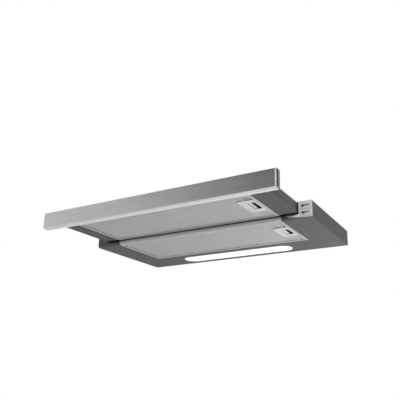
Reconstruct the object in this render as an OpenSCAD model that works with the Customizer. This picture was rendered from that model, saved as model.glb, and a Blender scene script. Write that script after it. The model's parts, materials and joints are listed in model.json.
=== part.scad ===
// Pull out range hood for a space 600 mm wide.
// X runs to the right along the front, Y runs back, Z runs up.
// The origin is the middle of the four mounting screws, on the top face of the flat body.
// The pull out is drawn fully open.

/* [Body] */
// Width of the flat body
shell_w = 598; // [500:1:700]
// Depth of the flat body, front face to rear wall
shell_d = 264; // [260:1:270]
// Height of the flat body
shell_h = 38; // [34:0.5:46]
// Sheet thickness of the body
sheet_t = 1; // [0.8:0.1:1.1]
// Outer radius of the rolled front edge
bend_r = 7; // [4:0.5:8]
// Height of the front lip under the pull out
lip_h = 9; // [8.6:0.1:9.4]

/* [Front panel] */
// Height of the front panel
panel_h = 38; // [34:1:42]
// Thickness of the front panel
panel_t = 17; // [15:0.5:20]
// Height of the panel's lower edge over the underside of the body
panel_lift = 1.8; // [1:0.2:3]

/* [Pull out] */
// Room beside the pull out for its runner
runner_room = 31.5; // [31:0.5:36]
// Length of the carriage that stays in the body
carriage_l = 60; // [50:1:80]
// Gap between the carriage and the front return when open
carriage_room = 7; // [4:0.5:20]
// Gap between the closed pull out and the rear face
rear_room = 20.5; // [19:0.5:30]
// Gap between the closed panel and the body
close_gap = 2.5; // [2.2:0.1:4]
// Gap between the front lip and the pull out
drawer_gap = 2.2; // [1.6:0.1:2.4]
// Gap between the pull out and the top plate
top_gap = 1.8; // [1.6:0.1:3]

/* [Filters] */
// Floor of the pull out beside its filter
tray_side = 42.5; // [35:0.5:60]
// Depth of the filter in the pull out
front_filter_d = 167; // [155:1:180]
// Floor of the body beside its filter
pan_side = 72; // [70:0.5:90]
// Gap between the filter in the body and the lamp
lamp_filter_gap = 19.1; // [12:0.1:30]
// Width of the frame's flange round the mesh
filter_rim = 7; // [5:0.5:7]

/* [Lamp] */
// Length of the lens
lamp_w = 326.6; // [280:1:360]
// Width of the lens
lamp_d = 50; // [44:1:54]
// Distance from the middle of the lens to the rear wall
lamp_inset = 44.5; // [44:0.5:50]

/* [Blower] */
// Outer radius of the blower wheel
wheel_r = 68; // [60:0.5:69]
// Height of the motor housing
box_h = 92; // [80:0.5:120]
// Number of blades
blade_count = 36; // [24:1:40]
// Height of the motor
motor_h = 19; // [16:1:40]
// Gap beside the scroll in its housing
scroll_room = 11; // [8:0.5:20]

/* [Outlet] */
// Outer radius of the duct collar
collar_r = 59.5; // [55:0.5:60]
// Height of the duct collar over the motor housing
collar_h = 48; // [36:1:60]

/* [Mounting] */
// Distance of the mounting screws from the sides of the body
fixing_inset = 59; // [45:1:70]
// Distance between the mounting screws front to back
fixing_d = 80; // [60:1:90]
// Radius of the mounting screw holes
fixing_r = 2.5; // [2:0.25:3]

/* [Hidden] */
$fn = 64;

// Radius of the blower scroll at an angle
function scroll_r(angle) =
    wheel_r + tongue_gap + (throat_gap - tongue_gap) * (angle - tongue_angle) / (throat_angle - tongue_angle);

// Overrun of a cut past the face that it opens
cut = 1;
// Gap between pieces that pass or lie beside each other
clear = 0.3;
// Running clearance of a shaft in its bore
running = 0.05;

// Places of the flat body
front_y = -shell_d / 2;
rear_y = shell_d / 2;
floor_z = -shell_h;
side_x = shell_w / 2;
wall_x = side_x - sheet_t;
fixing_w = shell_w - 2 * fixing_inset;
slot_return = 8;

// Pull out: its sheet, its top sheet and its places when open
drawer_t = 1;
drawer_top_t = 0.8;
drawer_edge_r = 3;
drawer_flange = 10;
drawer_z = floor_z + lip_h + drawer_gap;
drawer_h = shell_h - lip_h - drawer_gap - sheet_t - top_gap;
drawer_w = shell_w - 2 * runner_room;
drawer_x = drawer_w / 2;
drawer_rear_y = front_y + slot_return + carriage_room + carriage_l;
drawer_rear_closed_y = rear_y - rear_room;
travel = drawer_rear_closed_y - drawer_rear_y;
drawer_front_y = front_y - close_gap - travel;
drawer_top_z = drawer_z + drawer_h - drawer_top_t;
slot_gap = 1;
slot_x = drawer_x + slot_gap;

// Front panel: steel skin over the front half, hollow profile behind it, end caps
skin_t = 0.8;
skin_share = 0.5;
skin_d = panel_t * skin_share;
skin_edge_r = 1.5;
skin_fit = 0.2;
backing_wall = 1.4;
cap_t = 2;
cap_plug = 8;
panel_front_y = drawer_front_y - panel_t;
panel_z = floor_z + panel_lift;
panel_w = shell_w;
panel_x = panel_w / 2;
panel_screw_r = 2;
panel_screw_head_r = 3.6;
panel_screw_head_t = 2;
panel_screw_side_shares = [-0.8, -0.28, 0.28, 0.8];
panel_screw_z = drawer_z + lip_h + panel_screw_head_r + sheet_t;

// Filter cassettes: frame, hooks, mesh and corrugated layer
frame_t = 0.8;
filter_gap = 0.8;
mesh_t = 0.6;
hook_l = 7;
hook_w = 20;
hook_t = 1.2;
hook_share = 0.3;
diamond_w = 28;
diamond_h = 10;
diamond_web_w = 10;
diamond_web_h = 6;
core_t = 0.4;
core_pitch = 12;
front_filter_w = drawer_w - 2 * tray_side;
front_filter_y = drawer_front_y + filter_gap + drawer_t + clear;
front_filter_x = -front_filter_w / 2;

// Filter handle: plate, pocket behind it, finger opening and sliding catch
handle_inset = 26;
plate_w = 38;
plate_d = 72;
plate_r = 1.5;
pocket_left = 15;
pocket_right = 19.8;
pocket_d = 52;
pocket_wall = 1;
finger_left = 2.5;
finger_right = 15;
finger_d = 40;
lever_w = 6;
lever_d = 49;
lever_lip = 1.8;
arm_w = 3.8;
crossbar_w = 3;
tongue_w = 16;
tongue_reach = 3.2;
bolt_t = 2.2;
bolt_lift = frame_t + 2 * clear;
bolt_play = 0.4;

// Lamp: stadium lens in the pan, tray with the light strip over it
lamp_y = rear_y - lamp_inset;
lamp_gap = 0.4;
lens_proud = 0.5;
lens_flange = 2.4;
lens_flange_t = 1;
tray_wall = 1;
tray_rim = 3.4;
rear_filter_w = shell_w - 2 * pan_side;
rear_filter_d = lamp_y - lamp_d / 2 - tray_rim - tray_wall - lamp_filter_gap - front_y;
rear_filter_x = -rear_filter_w / 2;
lamp_room = 0.8;
tray_h = lip_h + drawer_gap - sheet_t - lamp_room;
board_w_share = 0.88;
board_d = 14;
board_t = 1.6;
led_count = 18;
led_side = 5;
led_t = 0.7;
lens_screw_inset = 11.6;
lens_screw_side = 9;
lens_screw_r = 1.2;
lens_screw_head_r = 2.6;
lens_screw_head_t = 1.2;
lens_boss_r = 4;

// Runners: rail on each side wall, carriage with two rollers on the pull out
rail_t = 1.2;
rail_channel = 14.5;
rail_leg = 7;
rail_stop_t = 1.5;
rail_offset = 3;
roller_r = 6;
roller_w = 8;
roller_edge = 1;
axle_r = 2;
axle_head_r = 3.2;
axle_head_t = 1.2;
carriage_t = 2.5;
carriage_h = 16;
roller_inset = 8;
rail_z = drawer_z + drawer_h / 2;
rail_x = drawer_x + rail_offset;
carriage_y = drawer_rear_y - carriage_l;
roller_x = rail_x + carriage_t - clear;
rail_front_y = carriage_y + roller_inset - roller_r - clear - rail_stop_t;
rail_rear_y = drawer_rear_closed_y - roller_inset + roller_r + clear + rail_stop_t;
roller_places = [carriage_y + roller_inset, drawer_rear_y - roller_inset];

// Control plate on the right front column, with two slide switches
plate_side = 3.5;
plate_low = 3.6;
plate_high = 2.6;
control_t = 1.5;
control_x = slot_x + plate_side;
control_z = floor_z + plate_low;
control_w = side_x - plate_side - control_x - sheet_t / 2;
control_h = shell_h - plate_low - plate_high;
control_fit = 0.3;
slot_margin = 3;
switch_slot_w = control_w - 2 * slot_margin;
switch_slot_h = 4.8;
knob_w = 4.4;
knob_h = 4;
knob_proud = 1.9;
knob_flange = 1.2;
block_d = 10;
block_rim = 1;
knob_cells = [1, 3];
knob_groove = 0.6;

// Micro switch at the rear wall, pressed by the rear bar of the pull out
micro_w = 28;
micro_h = 9;
micro_inset = 37.5;
micro_x = micro_inset - drawer_x;
button_r = 1.8;
button_out = 3;
button_in = 3;
button_stroke = 2.5;
bar_h = 7;
bar_d = 8;
button_z = drawer_top_z - bar_h / 2;
button_tip_y = drawer_rear_closed_y + clear;
micro_front_y = button_tip_y + button_out;

// Screws of the motor housing
tap_r = 1.7;
tap_head_r = 3.5;
tap_head_t = 2.2;
tap_end = 1.3;
box_screw_shares = [0.12, 0.5, 0.88];

// Blower scroll: a spiral round the wheel, a throat and the round outlet end
wheel_x = 54;
scroll_t = 2;
tongue_angle = 140;
throat_angle = 450;
tongue_gap = 5;
tongue_t = 1.5;
throat_gap = 32;
spiral_step = 5;
outlet_x = -85;
outlet_room = 3.5;
outlet_step = 2;
collar_t = 2;
collar_bore = collar_r - collar_t;
riser_r = collar_bore;
scroll_floor = 2;
scroll_split_share = 0.55;
bell_r = 8;
bell_t = 1.5;
hub_hole_r = 16;

// Wheel
wheel_lift = 9.5;
wheel_room = 6.5;
ring_t = 1.5;
blade_depth = 13.5;
eye_lap = 2.5;
eye_r = wheel_r - blade_depth - eye_lap;
blade_t = 1;
blade_curve_r = 9;
blade_edge = 1;
hub_r = 12;
hub_h = 10;
shaft_r = 4;
shaft_drop = 12;
press_gap = 0.02;

// Motor on rubber bushes on the scroll
motor_r = 36;
motor_plate_t = 2;
bush_t = 2.5;
bush_r = 5;
bush_circle_r = 44;
motor_screw_r = 2;
motor_screw_head_r = 3.8;
motor_screw_head_t = 2.5;
motor_chamfer = 4;
shaft_room = 2;
box_t = 1;
motor_room = 1.5;
motor_z = box_h - box_t - motor_room - motor_h;
scroll_h = motor_z - bush_t;
wheel_h = scroll_h - scroll_t - wheel_room - wheel_lift;

// Motor housing on the top plate, round the scroll and the motor
box_flange = 12;
box_slope = 22;
box_rear_inset = 7;
box_rear_room = 14;
box_front_room = 5.7;
box_rear_y = rear_y - box_rear_inset;
throat_end_y = box_rear_y - box_t - box_rear_room - scroll_t;
wheel_y = throat_end_y - scroll_r(throat_angle);
outlet_y = throat_end_y - outlet_step - riser_r - outlet_room;
box_front_y = wheel_y - scroll_r(throat_angle - 180) - scroll_t - box_front_room - box_t;
box_left_x = outlet_x - riser_r - outlet_room - scroll_t - scroll_room - box_t;
box_right_x = wheel_x + scroll_r(throat_angle - 90) + scroll_t + scroll_room + box_t;
box_d = box_rear_y - box_front_y;

// Guard in the eye of the top plate
guard_wire_r = 0.7;
guard_lap = 2;
guard_hole_r = eye_r + bell_r + guard_lap;
guard_rings = 4;
guard_spokes = 6;
guard_spoke_r = 1;
guard_boss_r = 5;

// Small electrics
capacitor_r = 14;
capacitor_l = 46;
capacitor_gap = 11;
capacitor_x = box_left_x + box_t + capacitor_gap;
capacitor_y = box_front_y + box_t + capacitor_gap + capacitor_r;
saddle_w = 12;
saddle_h = 6;
driver_w = 60;
driver_d = 36;
driver_h = 18;
driver_gap = 2;
driver_ear = 6;
driver_x = box_right_x + box_flange + driver_gap + driver_ear;
driver_ear_t = 2;
terminal_w = 44;
terminal_d = 70;
terminal_h = 44;
terminal_y = 30;
terminal_z = 6;
terminal_wall = 2;
terminal_lid = 2;
gland_r = 8;
gland_nut_r = 11;
gland_nut_l = 6;
gland_l = 18;
gland_bore_r = 4.5;
gland_y_share = 0.5;

// Outlet collar with the two flaps
collar_flange = 14;
collar_flange_t = 2;
seat_lift = 5;
seat_w = 3;
seat_t = 1.5;
flap_t = 1.2;
flap_gap = 1.2;
pin_r = 1;
knuckle_r = 2.2;
knuckle_count = 6;
knuckle_room = 0.4;
knuckle_span_share = 0.86;
collar_z = box_h;
pin_z = collar_z + seat_lift + seat_t + clear + flap_t / 2;
flap_r = collar_bore - flap_gap;

// Extrude a section drawn in Y and Z along X
module along_x(from, to) {
    translate([from, 0, 0]) rotate([90, 0, 90]) linear_extrude(to - from) children();
}

// Extrude a section drawn in X and Z along Y
module along_y(from, to) {
    translate([0, to, 0]) rotate([90, 0, 0]) linear_extrude(to - from) children();
}

// Box between two corners
module block(low, high) {
    translate(low) cube(high - low);
}

// Rectangle between two corners
module rect(low, high) {
    translate(low) square(high - low);
}

// Cylinder along X from one place to another
module rod_x(r, from, to) {
    translate([from, 0, 0]) rotate([0, 90, 0]) cylinder(r = r, h = to - from);
}

// Cylinder along Y from one place to another
module rod_y(r, from, to) {
    translate([0, to, 0]) rotate([90, 0, 0]) cylinder(r = r, h = to - from);
}

// Rectangle whose lower front corner is round
module nose(low, high, r) {
    difference() {
        rect(low, high);
        if (r > 0) difference() {
            rect(low - [cut, cut], low + [r, r]);
            translate(low + [r, r]) circle(r);
        }
    }
}

// Long outline with two half round ends
module stadium(length, width) {
    for (side = [-1, 1])
        translate([side * (length - width) / 2, 0]) circle(d = width);
    square([length - width, width], center = true);
}

// Rectangle with four round corners
module round_rect(w, d, r) {
    for (x = [-1, 1], y = [-1, 1])
        translate([x * (w / 2 - r), y * (d / 2 - r)]) circle(r);
    square([w - 2 * r, d], center = true);
    square([w, d - 2 * r], center = true);
}

// Lower pan: floor, rolled front edge, side walls, rear wall, slot and openings
module shell_pan() {
    opening_x = rear_filter_w / 2 + filter_gap;
    opening_y = front_y + rear_filter_d + filter_gap;
    color("silver") difference() {
        union() {
            along_x(-side_x, side_x) difference() {
                nose([front_y, floor_z], [rear_y, -sheet_t], bend_r);
                nose([front_y + sheet_t, floor_z + sheet_t], [rear_y - sheet_t, cut], bend_r - sheet_t);
            }
            for (x = [-side_x, wall_x])
                along_x(x, x + sheet_t) nose([front_y, floor_z], [rear_y, -sheet_t], bend_r);
            for (x = [-slot_x - sheet_t, slot_x])
                block([x, front_y, floor_z + lip_h], [x + sheet_t, front_y + slot_return, -sheet_t]);
        }
        block([-opening_x, front_y - cut, floor_z - cut], [opening_x, opening_y, floor_z + lip_h + cut]);
        block([-slot_x, front_y - cut, floor_z + lip_h], [slot_x, front_y + bend_r, cut]);
        translate([0, lamp_y, floor_z - cut]) linear_extrude(sheet_t + 2 * cut)
            stadium(lamp_w + 2 * lamp_gap, lamp_d + 2 * lamp_gap);
        block([control_x - control_fit, front_y - cut, control_z - control_fit],
              [control_x + control_w + control_fit, front_y + sheet_t + cut,
               control_z + control_h + control_fit]);
    }
}

// Places of the screws that hold the motor housing on the top plate
function box_screw_places() = [
    for (x = [box_left_x - box_flange / 2, box_right_x + box_flange / 2], share = box_screw_shares)
        [x, box_front_y + box_d * share]
];

// Top plate with the eye of the blower and the mounting screw holes
module shell_top() {
    color("gainsboro") difference() {
        block([-side_x, front_y, -sheet_t], [side_x, rear_y, 0]);
        translate([wheel_x, wheel_y, -sheet_t - cut]) cylinder(r = guard_hole_r, h = sheet_t + 2 * cut);
        for (x = [-1, 1], y = [-1, 1])
            translate([x * fixing_w / 2, y * fixing_d / 2, -sheet_t - cut])
                cylinder(r = fixing_r, h = sheet_t + 2 * cut);
        for (place = box_screw_places())
            translate([place.x, place.y, -sheet_t - cut])
                cylinder(r = tap_r + running, h = sheet_t + 2 * cut);
    }
}

// Right rail: channel for the rollers, flange to the side wall, stop at each end
module rail() {
    inner = roller_r + clear;
    difference() {
        along_y(rail_front_y, rail_rear_y) {
            rect([rail_x, rail_z + inner], [wall_x, rail_z + inner + rail_t]);
            rect([wall_x - rail_t, rail_z + inner], [wall_x, rail_z + inner + rail_leg]);
            rect([rail_x + rail_channel, rail_z - inner - rail_t],
                 [rail_x + rail_channel + rail_t, rail_z + inner + rail_t]);
            rect([rail_x, rail_z - inner - rail_t], [rail_x + rail_channel + rail_t, rail_z - inner]);
        }
    }
    for (y = [rail_front_y, rail_rear_y - rail_stop_t])
        block([rail_x, y, rail_z - inner], [rail_x + rail_channel, y + rail_stop_t, rail_z + inner]);
}

module rail_right() {
    color("lightsteelblue") rail();
}

module rail_left() {
    color("lightsteelblue") mirror([1, 0, 0]) rail();
}

// Plate on the side of the pull out with two roller axles, right side
module carriage() {
    block([drawer_x, carriage_y, rail_z - carriage_h / 2],
          [drawer_x + carriage_t, drawer_rear_y, rail_z + carriage_h / 2]);
    for (y = roller_places) translate([0, y, rail_z]) {
        rod_x(axle_r, drawer_x, roller_x + roller_w + clear + axle_head_t);
        rod_x(axle_head_r, roller_x + roller_w + clear, roller_x + roller_w + clear + axle_head_t);
    }
}

module carriage_right() {
    color("slategray") carriage();
}

module carriage_left() {
    color("slategray") mirror([1, 0, 0]) carriage();
}

// Nylon roller with chamfered edges at a place along the right rail
module roller(y) {
    bore = axle_r + running;
    translate([roller_x, y, rail_z]) rotate([0, 90, 0]) rotate_extrude()
        polygon([
            [bore, 0], [roller_r - roller_edge, 0], [roller_r, roller_edge],
            [roller_r, roller_w - roller_edge], [roller_r - roller_edge, roller_w], [bore, roller_w]
        ]);
}

module roller_right_front() {
    color("whitesmoke") roller(roller_places[0]);
}

module roller_right_rear() {
    color("whitesmoke") roller(roller_places[1]);
}

module roller_left_front() {
    color("whitesmoke") mirror([1, 0, 0]) roller(roller_places[0]);
}

module roller_left_rear() {
    color("whitesmoke") mirror([1, 0, 0]) roller(roller_places[1]);
}

// Places of the two lens screws
function lens_screw_places() = [
    for (x = [-1, 1]) [x * (lamp_w / 2 - lens_screw_inset), lamp_y + lens_screw_side]
];

// Tray over the lens, with the light strip on its roof
module lamp_tray() {
    low = floor_z + sheet_t;
    roof = low + tray_h - tray_wall;
    color("gainsboro") difference() {
        union() {
            translate([0, lamp_y, low]) linear_extrude(tray_h) difference() {
                stadium(lamp_w + 2 * tray_rim + 2 * tray_wall, lamp_d + 2 * tray_rim + 2 * tray_wall);
                stadium(lamp_w + 2 * tray_rim, lamp_d + 2 * tray_rim);
            }
            translate([0, lamp_y, roof]) linear_extrude(tray_wall)
                stadium(lamp_w + 2 * tray_rim + tray_wall, lamp_d + 2 * tray_rim + tray_wall);
            for (place = lens_screw_places())
                translate([place.x, place.y, low + lens_flange_t])
                    cylinder(r = lens_boss_r, h = tray_h - lens_flange_t);
        }
        for (place = lens_screw_places())
            translate([place.x, place.y, low])
                cylinder(r = lens_screw_r + running, h = tray_h - tray_wall);
    }
}

// Light strip with its row of light sources
module led_board() {
    roof = floor_z + sheet_t + tray_h - tray_wall;
    board_w = lamp_w * board_w_share;
    color("ivory") {
        translate([-board_w / 2, lamp_y - board_d / 2, roof - board_t]) cube([board_w, board_d, board_t]);
        for (i = [0:led_count - 1])
            translate([
                -board_w / 2 + board_w * (i + 0.5) / led_count - led_side / 2,
                lamp_y - led_side / 2, roof - board_t - led_t
            ]) cube([led_side, led_side, led_t]);
    }
}

// Opal lens: its face stands a little below the pan, its flange rests inside
module lamp_diffuser() {
    color("white") difference() {
        union() {
            translate([0, lamp_y, floor_z - lens_proud]) linear_extrude(lens_proud + sheet_t + lens_flange_t)
                stadium(lamp_w, lamp_d);
            translate([0, lamp_y, floor_z + sheet_t]) linear_extrude(lens_flange_t)
                stadium(lamp_w + 2 * lens_flange, lamp_d + 2 * lens_flange);
        }
        for (place = lens_screw_places()) {
            translate([place.x, place.y, floor_z - lens_proud - cut])
                cylinder(r = lens_screw_r + clear, h = lens_proud + sheet_t + lens_flange_t + 2 * cut);
            translate([place.x, place.y, floor_z - lens_proud - cut])
                cylinder(r = lens_screw_head_r + lamp_gap, h = lens_screw_head_t + cut);
        }
    }
}

module diffuser_screws() {
    color("dimgray") for (place = lens_screw_places())
        translate([place.x, place.y, floor_z - lens_proud]) {
            cylinder(r = lens_screw_head_r, h = lens_screw_head_t);
            cylinder(r = lens_screw_r, h = tray_h - tray_wall);
        }
}

// Driver of the light strip, on the top plate beside the motor housing
module led_driver() {
    color("white") {
        block([driver_x, -driver_d / 2, 0], [driver_x + driver_w, driver_d / 2, driver_h]);
        block([driver_x - driver_ear, -driver_d / 4, 0],
              [driver_x + driver_w + driver_ear, driver_d / 4, driver_ear_t]);
    }
}

// Middle height of a switch cell, counted in quarters of the plate
function cell_z(quarter) = control_z + control_h * quarter / 4;

// Start of the switch slots
function slot_start() = control_x + (control_w - switch_slot_w) / 2;

// Plate with two slots and the line between its cells
module control_plate() {
    color("gray") difference() {
        block([control_x, front_y, control_z],
              [control_x + control_w, front_y + control_t, control_z + control_h]);
        for (quarter = knob_cells)
            block([slot_start(), front_y - cut, cell_z(quarter) - switch_slot_h / 2],
                  [slot_start() + switch_slot_w, front_y + control_t + cut,
                   cell_z(quarter) + switch_slot_h / 2]);
        block([control_x - cut, front_y - cut, cell_z(2) - knob_groove / 2],
              [control_x + control_w + cut, front_y + knob_groove, cell_z(2) + knob_groove / 2]);
    }
}

// Housing of both slide switches
module switch_block() {
    low_y = front_y + control_t;
    color("dimgray") difference() {
        block([control_x - block_rim, low_y, control_z + block_rim],
              [control_x + control_w + block_rim, low_y + block_d, control_z + control_h]);
        for (quarter = knob_cells)
            block([slot_start() - block_rim, low_y - cut, cell_z(quarter) - switch_slot_h],
                  [slot_start() + switch_slot_w + block_rim, low_y + block_d / 2,
                   cell_z(quarter) + switch_slot_h]);
    }
}

// Knob of a slide switch, at the left end of its slot
module switch_knob(quarter) {
    low_x = slot_start() + clear;
    middle = cell_z(quarter);
    inner_y = front_y + control_t + clear;
    difference() {
        block([low_x, front_y - knob_proud, middle - knob_h / 2],
              [low_x + knob_w, inner_y + knob_flange, middle + knob_h / 2]);
        for (share = [0.25, 0.75])
            block([low_x + knob_w * share - knob_groove / 2, front_y - knob_proud - cut, middle - knob_h],
                  [low_x + knob_w * share + knob_groove / 2, front_y - knob_proud + knob_groove,
                   middle + knob_h]);
    }
    block([low_x, inner_y, middle - switch_slot_h / 2 - knob_groove],
          [low_x + knob_w, inner_y + knob_flange, middle + switch_slot_h / 2 + knob_groove]);
}

module speed_knob() {
    color("black") switch_knob(knob_cells[1]);
}

module light_knob() {
    color("black") switch_knob(knob_cells[0]);
}

// Micro switch on the rear wall
module door_switch() {
    color("black") difference() {
        block([micro_x - micro_w / 2, micro_front_y, button_z - micro_h / 2],
              [micro_x + micro_w / 2, rear_y - sheet_t, button_z + micro_h / 2]);
        translate([micro_x, 0, button_z])
            rod_y(button_r + running, micro_front_y - cut, micro_front_y + button_in + button_stroke + clear);
    }
}

// Its button, out
module switch_plunger() {
    color("red") translate([micro_x, 0, button_z]) rod_y(button_r, button_tip_y, micro_front_y + button_in);
}

// Side view of the motor housing with its sloped front edge
module box_side(wall) {
    polygon([
        [box_front_y + wall, wall == 0 ? 0 : -cut], [box_rear_y - wall, wall == 0 ? 0 : -cut],
        [box_rear_y - wall, box_h - wall], [box_front_y + box_slope + wall / 2, box_h - wall],
        [box_front_y + wall, box_h - box_slope - wall / 2]
    ]);
}

// Places of the screws round the outlet collar
function collar_screw_places() = [
    for (a = [45:90:315])
        [outlet_x + (collar_r + collar_flange / 2) * cos(a),
         outlet_y + (collar_r + collar_flange / 2) * sin(a)]
];

module motor_box() {
    color("darkgray") difference() {
        union() {
            difference() {
                along_x(box_left_x, box_right_x) box_side(0);
                along_x(box_left_x + box_t, box_right_x - box_t) box_side(box_t);
            }
            for (x = [box_left_x - box_flange, box_right_x - box_t])
                block([x, box_front_y, 0], [x + box_flange + box_t, box_rear_y, box_t]);
        }
        translate([outlet_x, outlet_y, box_h - box_t - cut]) cylinder(r = riser_r, h = box_t + 2 * cut);
        for (place = box_screw_places())
            translate([place.x, place.y, -cut]) cylinder(r = tap_r + running, h = box_t + 2 * cut);
        for (place = collar_screw_places())
            translate([place.x, place.y, box_h - box_t - cut])
                cylinder(r = tap_r + running, h = box_t + 2 * cut);
    }
}

// Self tapping screws of the motor housing and of the outlet collar
module tap_screw(grip) {
    cylinder(r = tap_head_r, h = tap_head_t);
    translate([0, 0, -grip - tap_end]) cylinder(r = tap_r, h = grip + tap_end);
}

module housing_screws() {
    color("silver") {
        for (place = box_screw_places())
            translate([place.x, place.y, box_t]) tap_screw(box_t + sheet_t);
        for (place = collar_screw_places())
            translate([place.x, place.y, collar_z + collar_flange_t]) tap_screw(collar_flange_t + box_t);
    }
}

// Outline of the scroll's inside, or of its outside when grown by the wall
module scroll_outline(grow) {
    throat_y = wheel_y + scroll_r(throat_angle) + grow;
    tongue_y = wheel_y + scroll_r(tongue_angle) * sin(tongue_angle) + tongue_t - grow;
    middle_y = (throat_y + tongue_y) / 2;
    polygon(concat(
        [for (a = [tongue_angle:spiral_step:throat_angle - spiral_step])
            [wheel_x, wheel_y] + (scroll_r(a) + grow) * [cos(a), sin(a)]],
        [[wheel_x, throat_y], [outlet_x - grow, throat_y], [outlet_x - grow, middle_y]]
    ));
    rect([outlet_x, tongue_y], [wheel_x, middle_y + scroll_t]);
    translate([outlet_x, outlet_y]) circle(riser_r + outlet_room + grow);
}

// Lower half of the scroll with the bell mouth of its eye
module scroll_lower() {
    split = scroll_h * scroll_split_share;
    color("dimgray") {
        difference() {
            linear_extrude(split) scroll_outline(scroll_t);
            translate([0, 0, scroll_floor]) linear_extrude(split) scroll_outline(0);
            translate([wheel_x, wheel_y, -cut]) cylinder(r = eye_r + bell_r, h = scroll_floor + 2 * cut);
        }
        translate([wheel_x, wheel_y, 0]) rotate_extrude() intersection() {
            translate([eye_r + bell_r, bell_r]) difference() {
                circle(bell_r);
                circle(bell_r - bell_t);
            }
            square([eye_r + bell_r, bell_r]);
        }
    }
}

// Upper half of the scroll with the motor seat and the riser to the collar
module scroll_upper() {
    split = scroll_h * scroll_split_share;
    color("dimgray") difference() {
        union() {
            difference() {
                translate([0, 0, split]) linear_extrude(scroll_h - split) scroll_outline(scroll_t);
                translate([0, 0, split - cut]) linear_extrude(scroll_h - split - scroll_t + cut)
                    scroll_outline(0);
            }
            translate([outlet_x, outlet_y, scroll_h - scroll_t])
                cylinder(r = riser_r + scroll_t, h = box_h - box_t - scroll_h + scroll_t);
        }
        translate([outlet_x, outlet_y, scroll_h - scroll_t - cut])
            cylinder(r = riser_r, h = box_h);
        translate([wheel_x, wheel_y, scroll_h - scroll_t - cut])
            cylinder(r = hub_hole_r, h = scroll_t + 2 * cut);
        for (a = [0:120:240])
            translate([wheel_x + bush_circle_r * cos(a), wheel_y + bush_circle_r * sin(a),
                       scroll_h - scroll_t - cut])
                cylinder(r = motor_screw_r + running, h = scroll_t + 2 * cut);
    }
}

// Wire guard in the hole of the top plate
module inlet_guard() {
    outer = guard_hole_r - clear - guard_wire_r;
    color("silver") translate([wheel_x, wheel_y, -guard_spoke_r - clear]) {
        translate([0, 0, -guard_spoke_r]) cylinder(r = guard_boss_r, h = 2 * guard_spoke_r + clear);
        for (i = [1:guard_rings])
            rotate_extrude() translate([outer * i / guard_rings, 0]) circle(guard_wire_r);
        for (i = [0:guard_spokes - 1]) rotate([0, 0, i * 360 / guard_spokes])
            rod_x(guard_spoke_r, guard_boss_r / 2, outer);
    }
}

// Three ears of the motor plate share one circle with bushes and screws
module on_bushes() {
    for (a = [0:120:240])
        translate([wheel_x + bush_circle_r * cos(a), wheel_y + bush_circle_r * sin(a), 0]) children();
}

module motor() {
    color("slategray") difference() {
        union() {
            translate([wheel_x, wheel_y, motor_z]) rotate_extrude() polygon([
                [0, 0], [motor_r, 0], [motor_r, motor_h - motor_chamfer],
                [motor_r - motor_chamfer, motor_h], [0, motor_h]
            ]);
            on_bushes() translate([0, 0, motor_z]) cylinder(r = bush_r + motor_plate_t, h = motor_plate_t);
            for (a = [0:120:240]) translate([wheel_x, wheel_y, motor_z]) rotate([0, 0, a])
                translate([0, -bush_r - motor_plate_t, 0])
                    cube([bush_circle_r, 2 * (bush_r + motor_plate_t), motor_plate_t]);
        }
        translate([wheel_x, wheel_y, motor_z - cut])
            cylinder(r = shaft_r + running, h = motor_h - shaft_room + cut);
        on_bushes() translate([0, 0, motor_z - cut])
            cylinder(r = motor_screw_r + running, h = motor_plate_t + 2 * cut);
    }
}

module motor_bushes() {
    color("black") on_bushes() translate([0, 0, scroll_h]) difference() {
        cylinder(r = bush_r, h = bush_t);
        translate([0, 0, -cut]) cylinder(r = motor_screw_r + running, h = bush_t + 2 * cut);
    }
}

module motor_screws() {
    color("silver") on_bushes() translate([0, 0, motor_z + motor_plate_t]) {
        cylinder(r = motor_screw_head_r, h = motor_screw_head_t);
        translate([0, 0, -motor_plate_t - bush_t - scroll_t])
            cylinder(r = motor_screw_r, h = motor_plate_t + bush_t + scroll_t);
    }
}

// One forward curved blade: the top of a small ring, between both edges of the eye ring
module blade_outline() {
    middle_r = wheel_r - blade_depth / 2;
    reach = blade_depth / 2 - blade_edge;
    translate([middle_r, 0]) intersection() {
        translate([0, -blade_curve_r]) difference() {
            circle(blade_curve_r);
            circle(blade_curve_r - blade_t);
        }
        rect([-reach, -blade_depth], [reach, blade_depth / 2]);
    }
}

// Blower wheel without its disc: two rings and the blades between them
module impeller() {
    color("dimgray") translate([wheel_x, wheel_y, wheel_lift]) {
        for (z = [0, wheel_h - 2 * ring_t])
            translate([0, 0, z]) linear_extrude(ring_t) difference() {
                circle(wheel_r);
                circle(wheel_r - blade_depth);
            }
        for (i = [0:blade_count - 1]) rotate([0, 0, i * 360 / blade_count])
            translate([0, 0, ring_t / 2]) linear_extrude(wheel_h - 2 * ring_t) blade_outline();
    }
}

// Disc on top of the blades, with the hub on the shaft
module impeller_disc() {
    color("dimgray") translate([wheel_x, wheel_y, wheel_lift + wheel_h]) difference() {
        union() {
            translate([0, 0, -ring_t]) cylinder(r = wheel_r, h = ring_t);
            translate([0, 0, -hub_h]) cylinder(r = hub_r, h = hub_h);
        }
        translate([0, 0, -hub_h - cut]) cylinder(r = shaft_r + press_gap, h = hub_h + 2 * cut);
    }
}

module motor_shaft() {
    low = wheel_lift + wheel_h - shaft_drop;
    color("silver") translate([wheel_x, wheel_y, low])
        cylinder(r = shaft_r, h = motor_z + motor_h - shaft_room - clear - low);
}

// Run capacitor on its saddle
module capacitor() {
    color("lightgray") {
        translate([capacitor_x, capacitor_y, capacitor_r + sheet_t]) rotate([0, 90, 0])
            cylinder(r = capacitor_r, h = capacitor_l);
        block([capacitor_x + capacitor_l / 2 - saddle_w / 2, capacitor_y - capacitor_r / 2, 0],
              [capacitor_x + capacitor_l / 2 + saddle_w / 2, capacitor_y + capacitor_r / 2, saddle_h]);
    }
}

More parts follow.
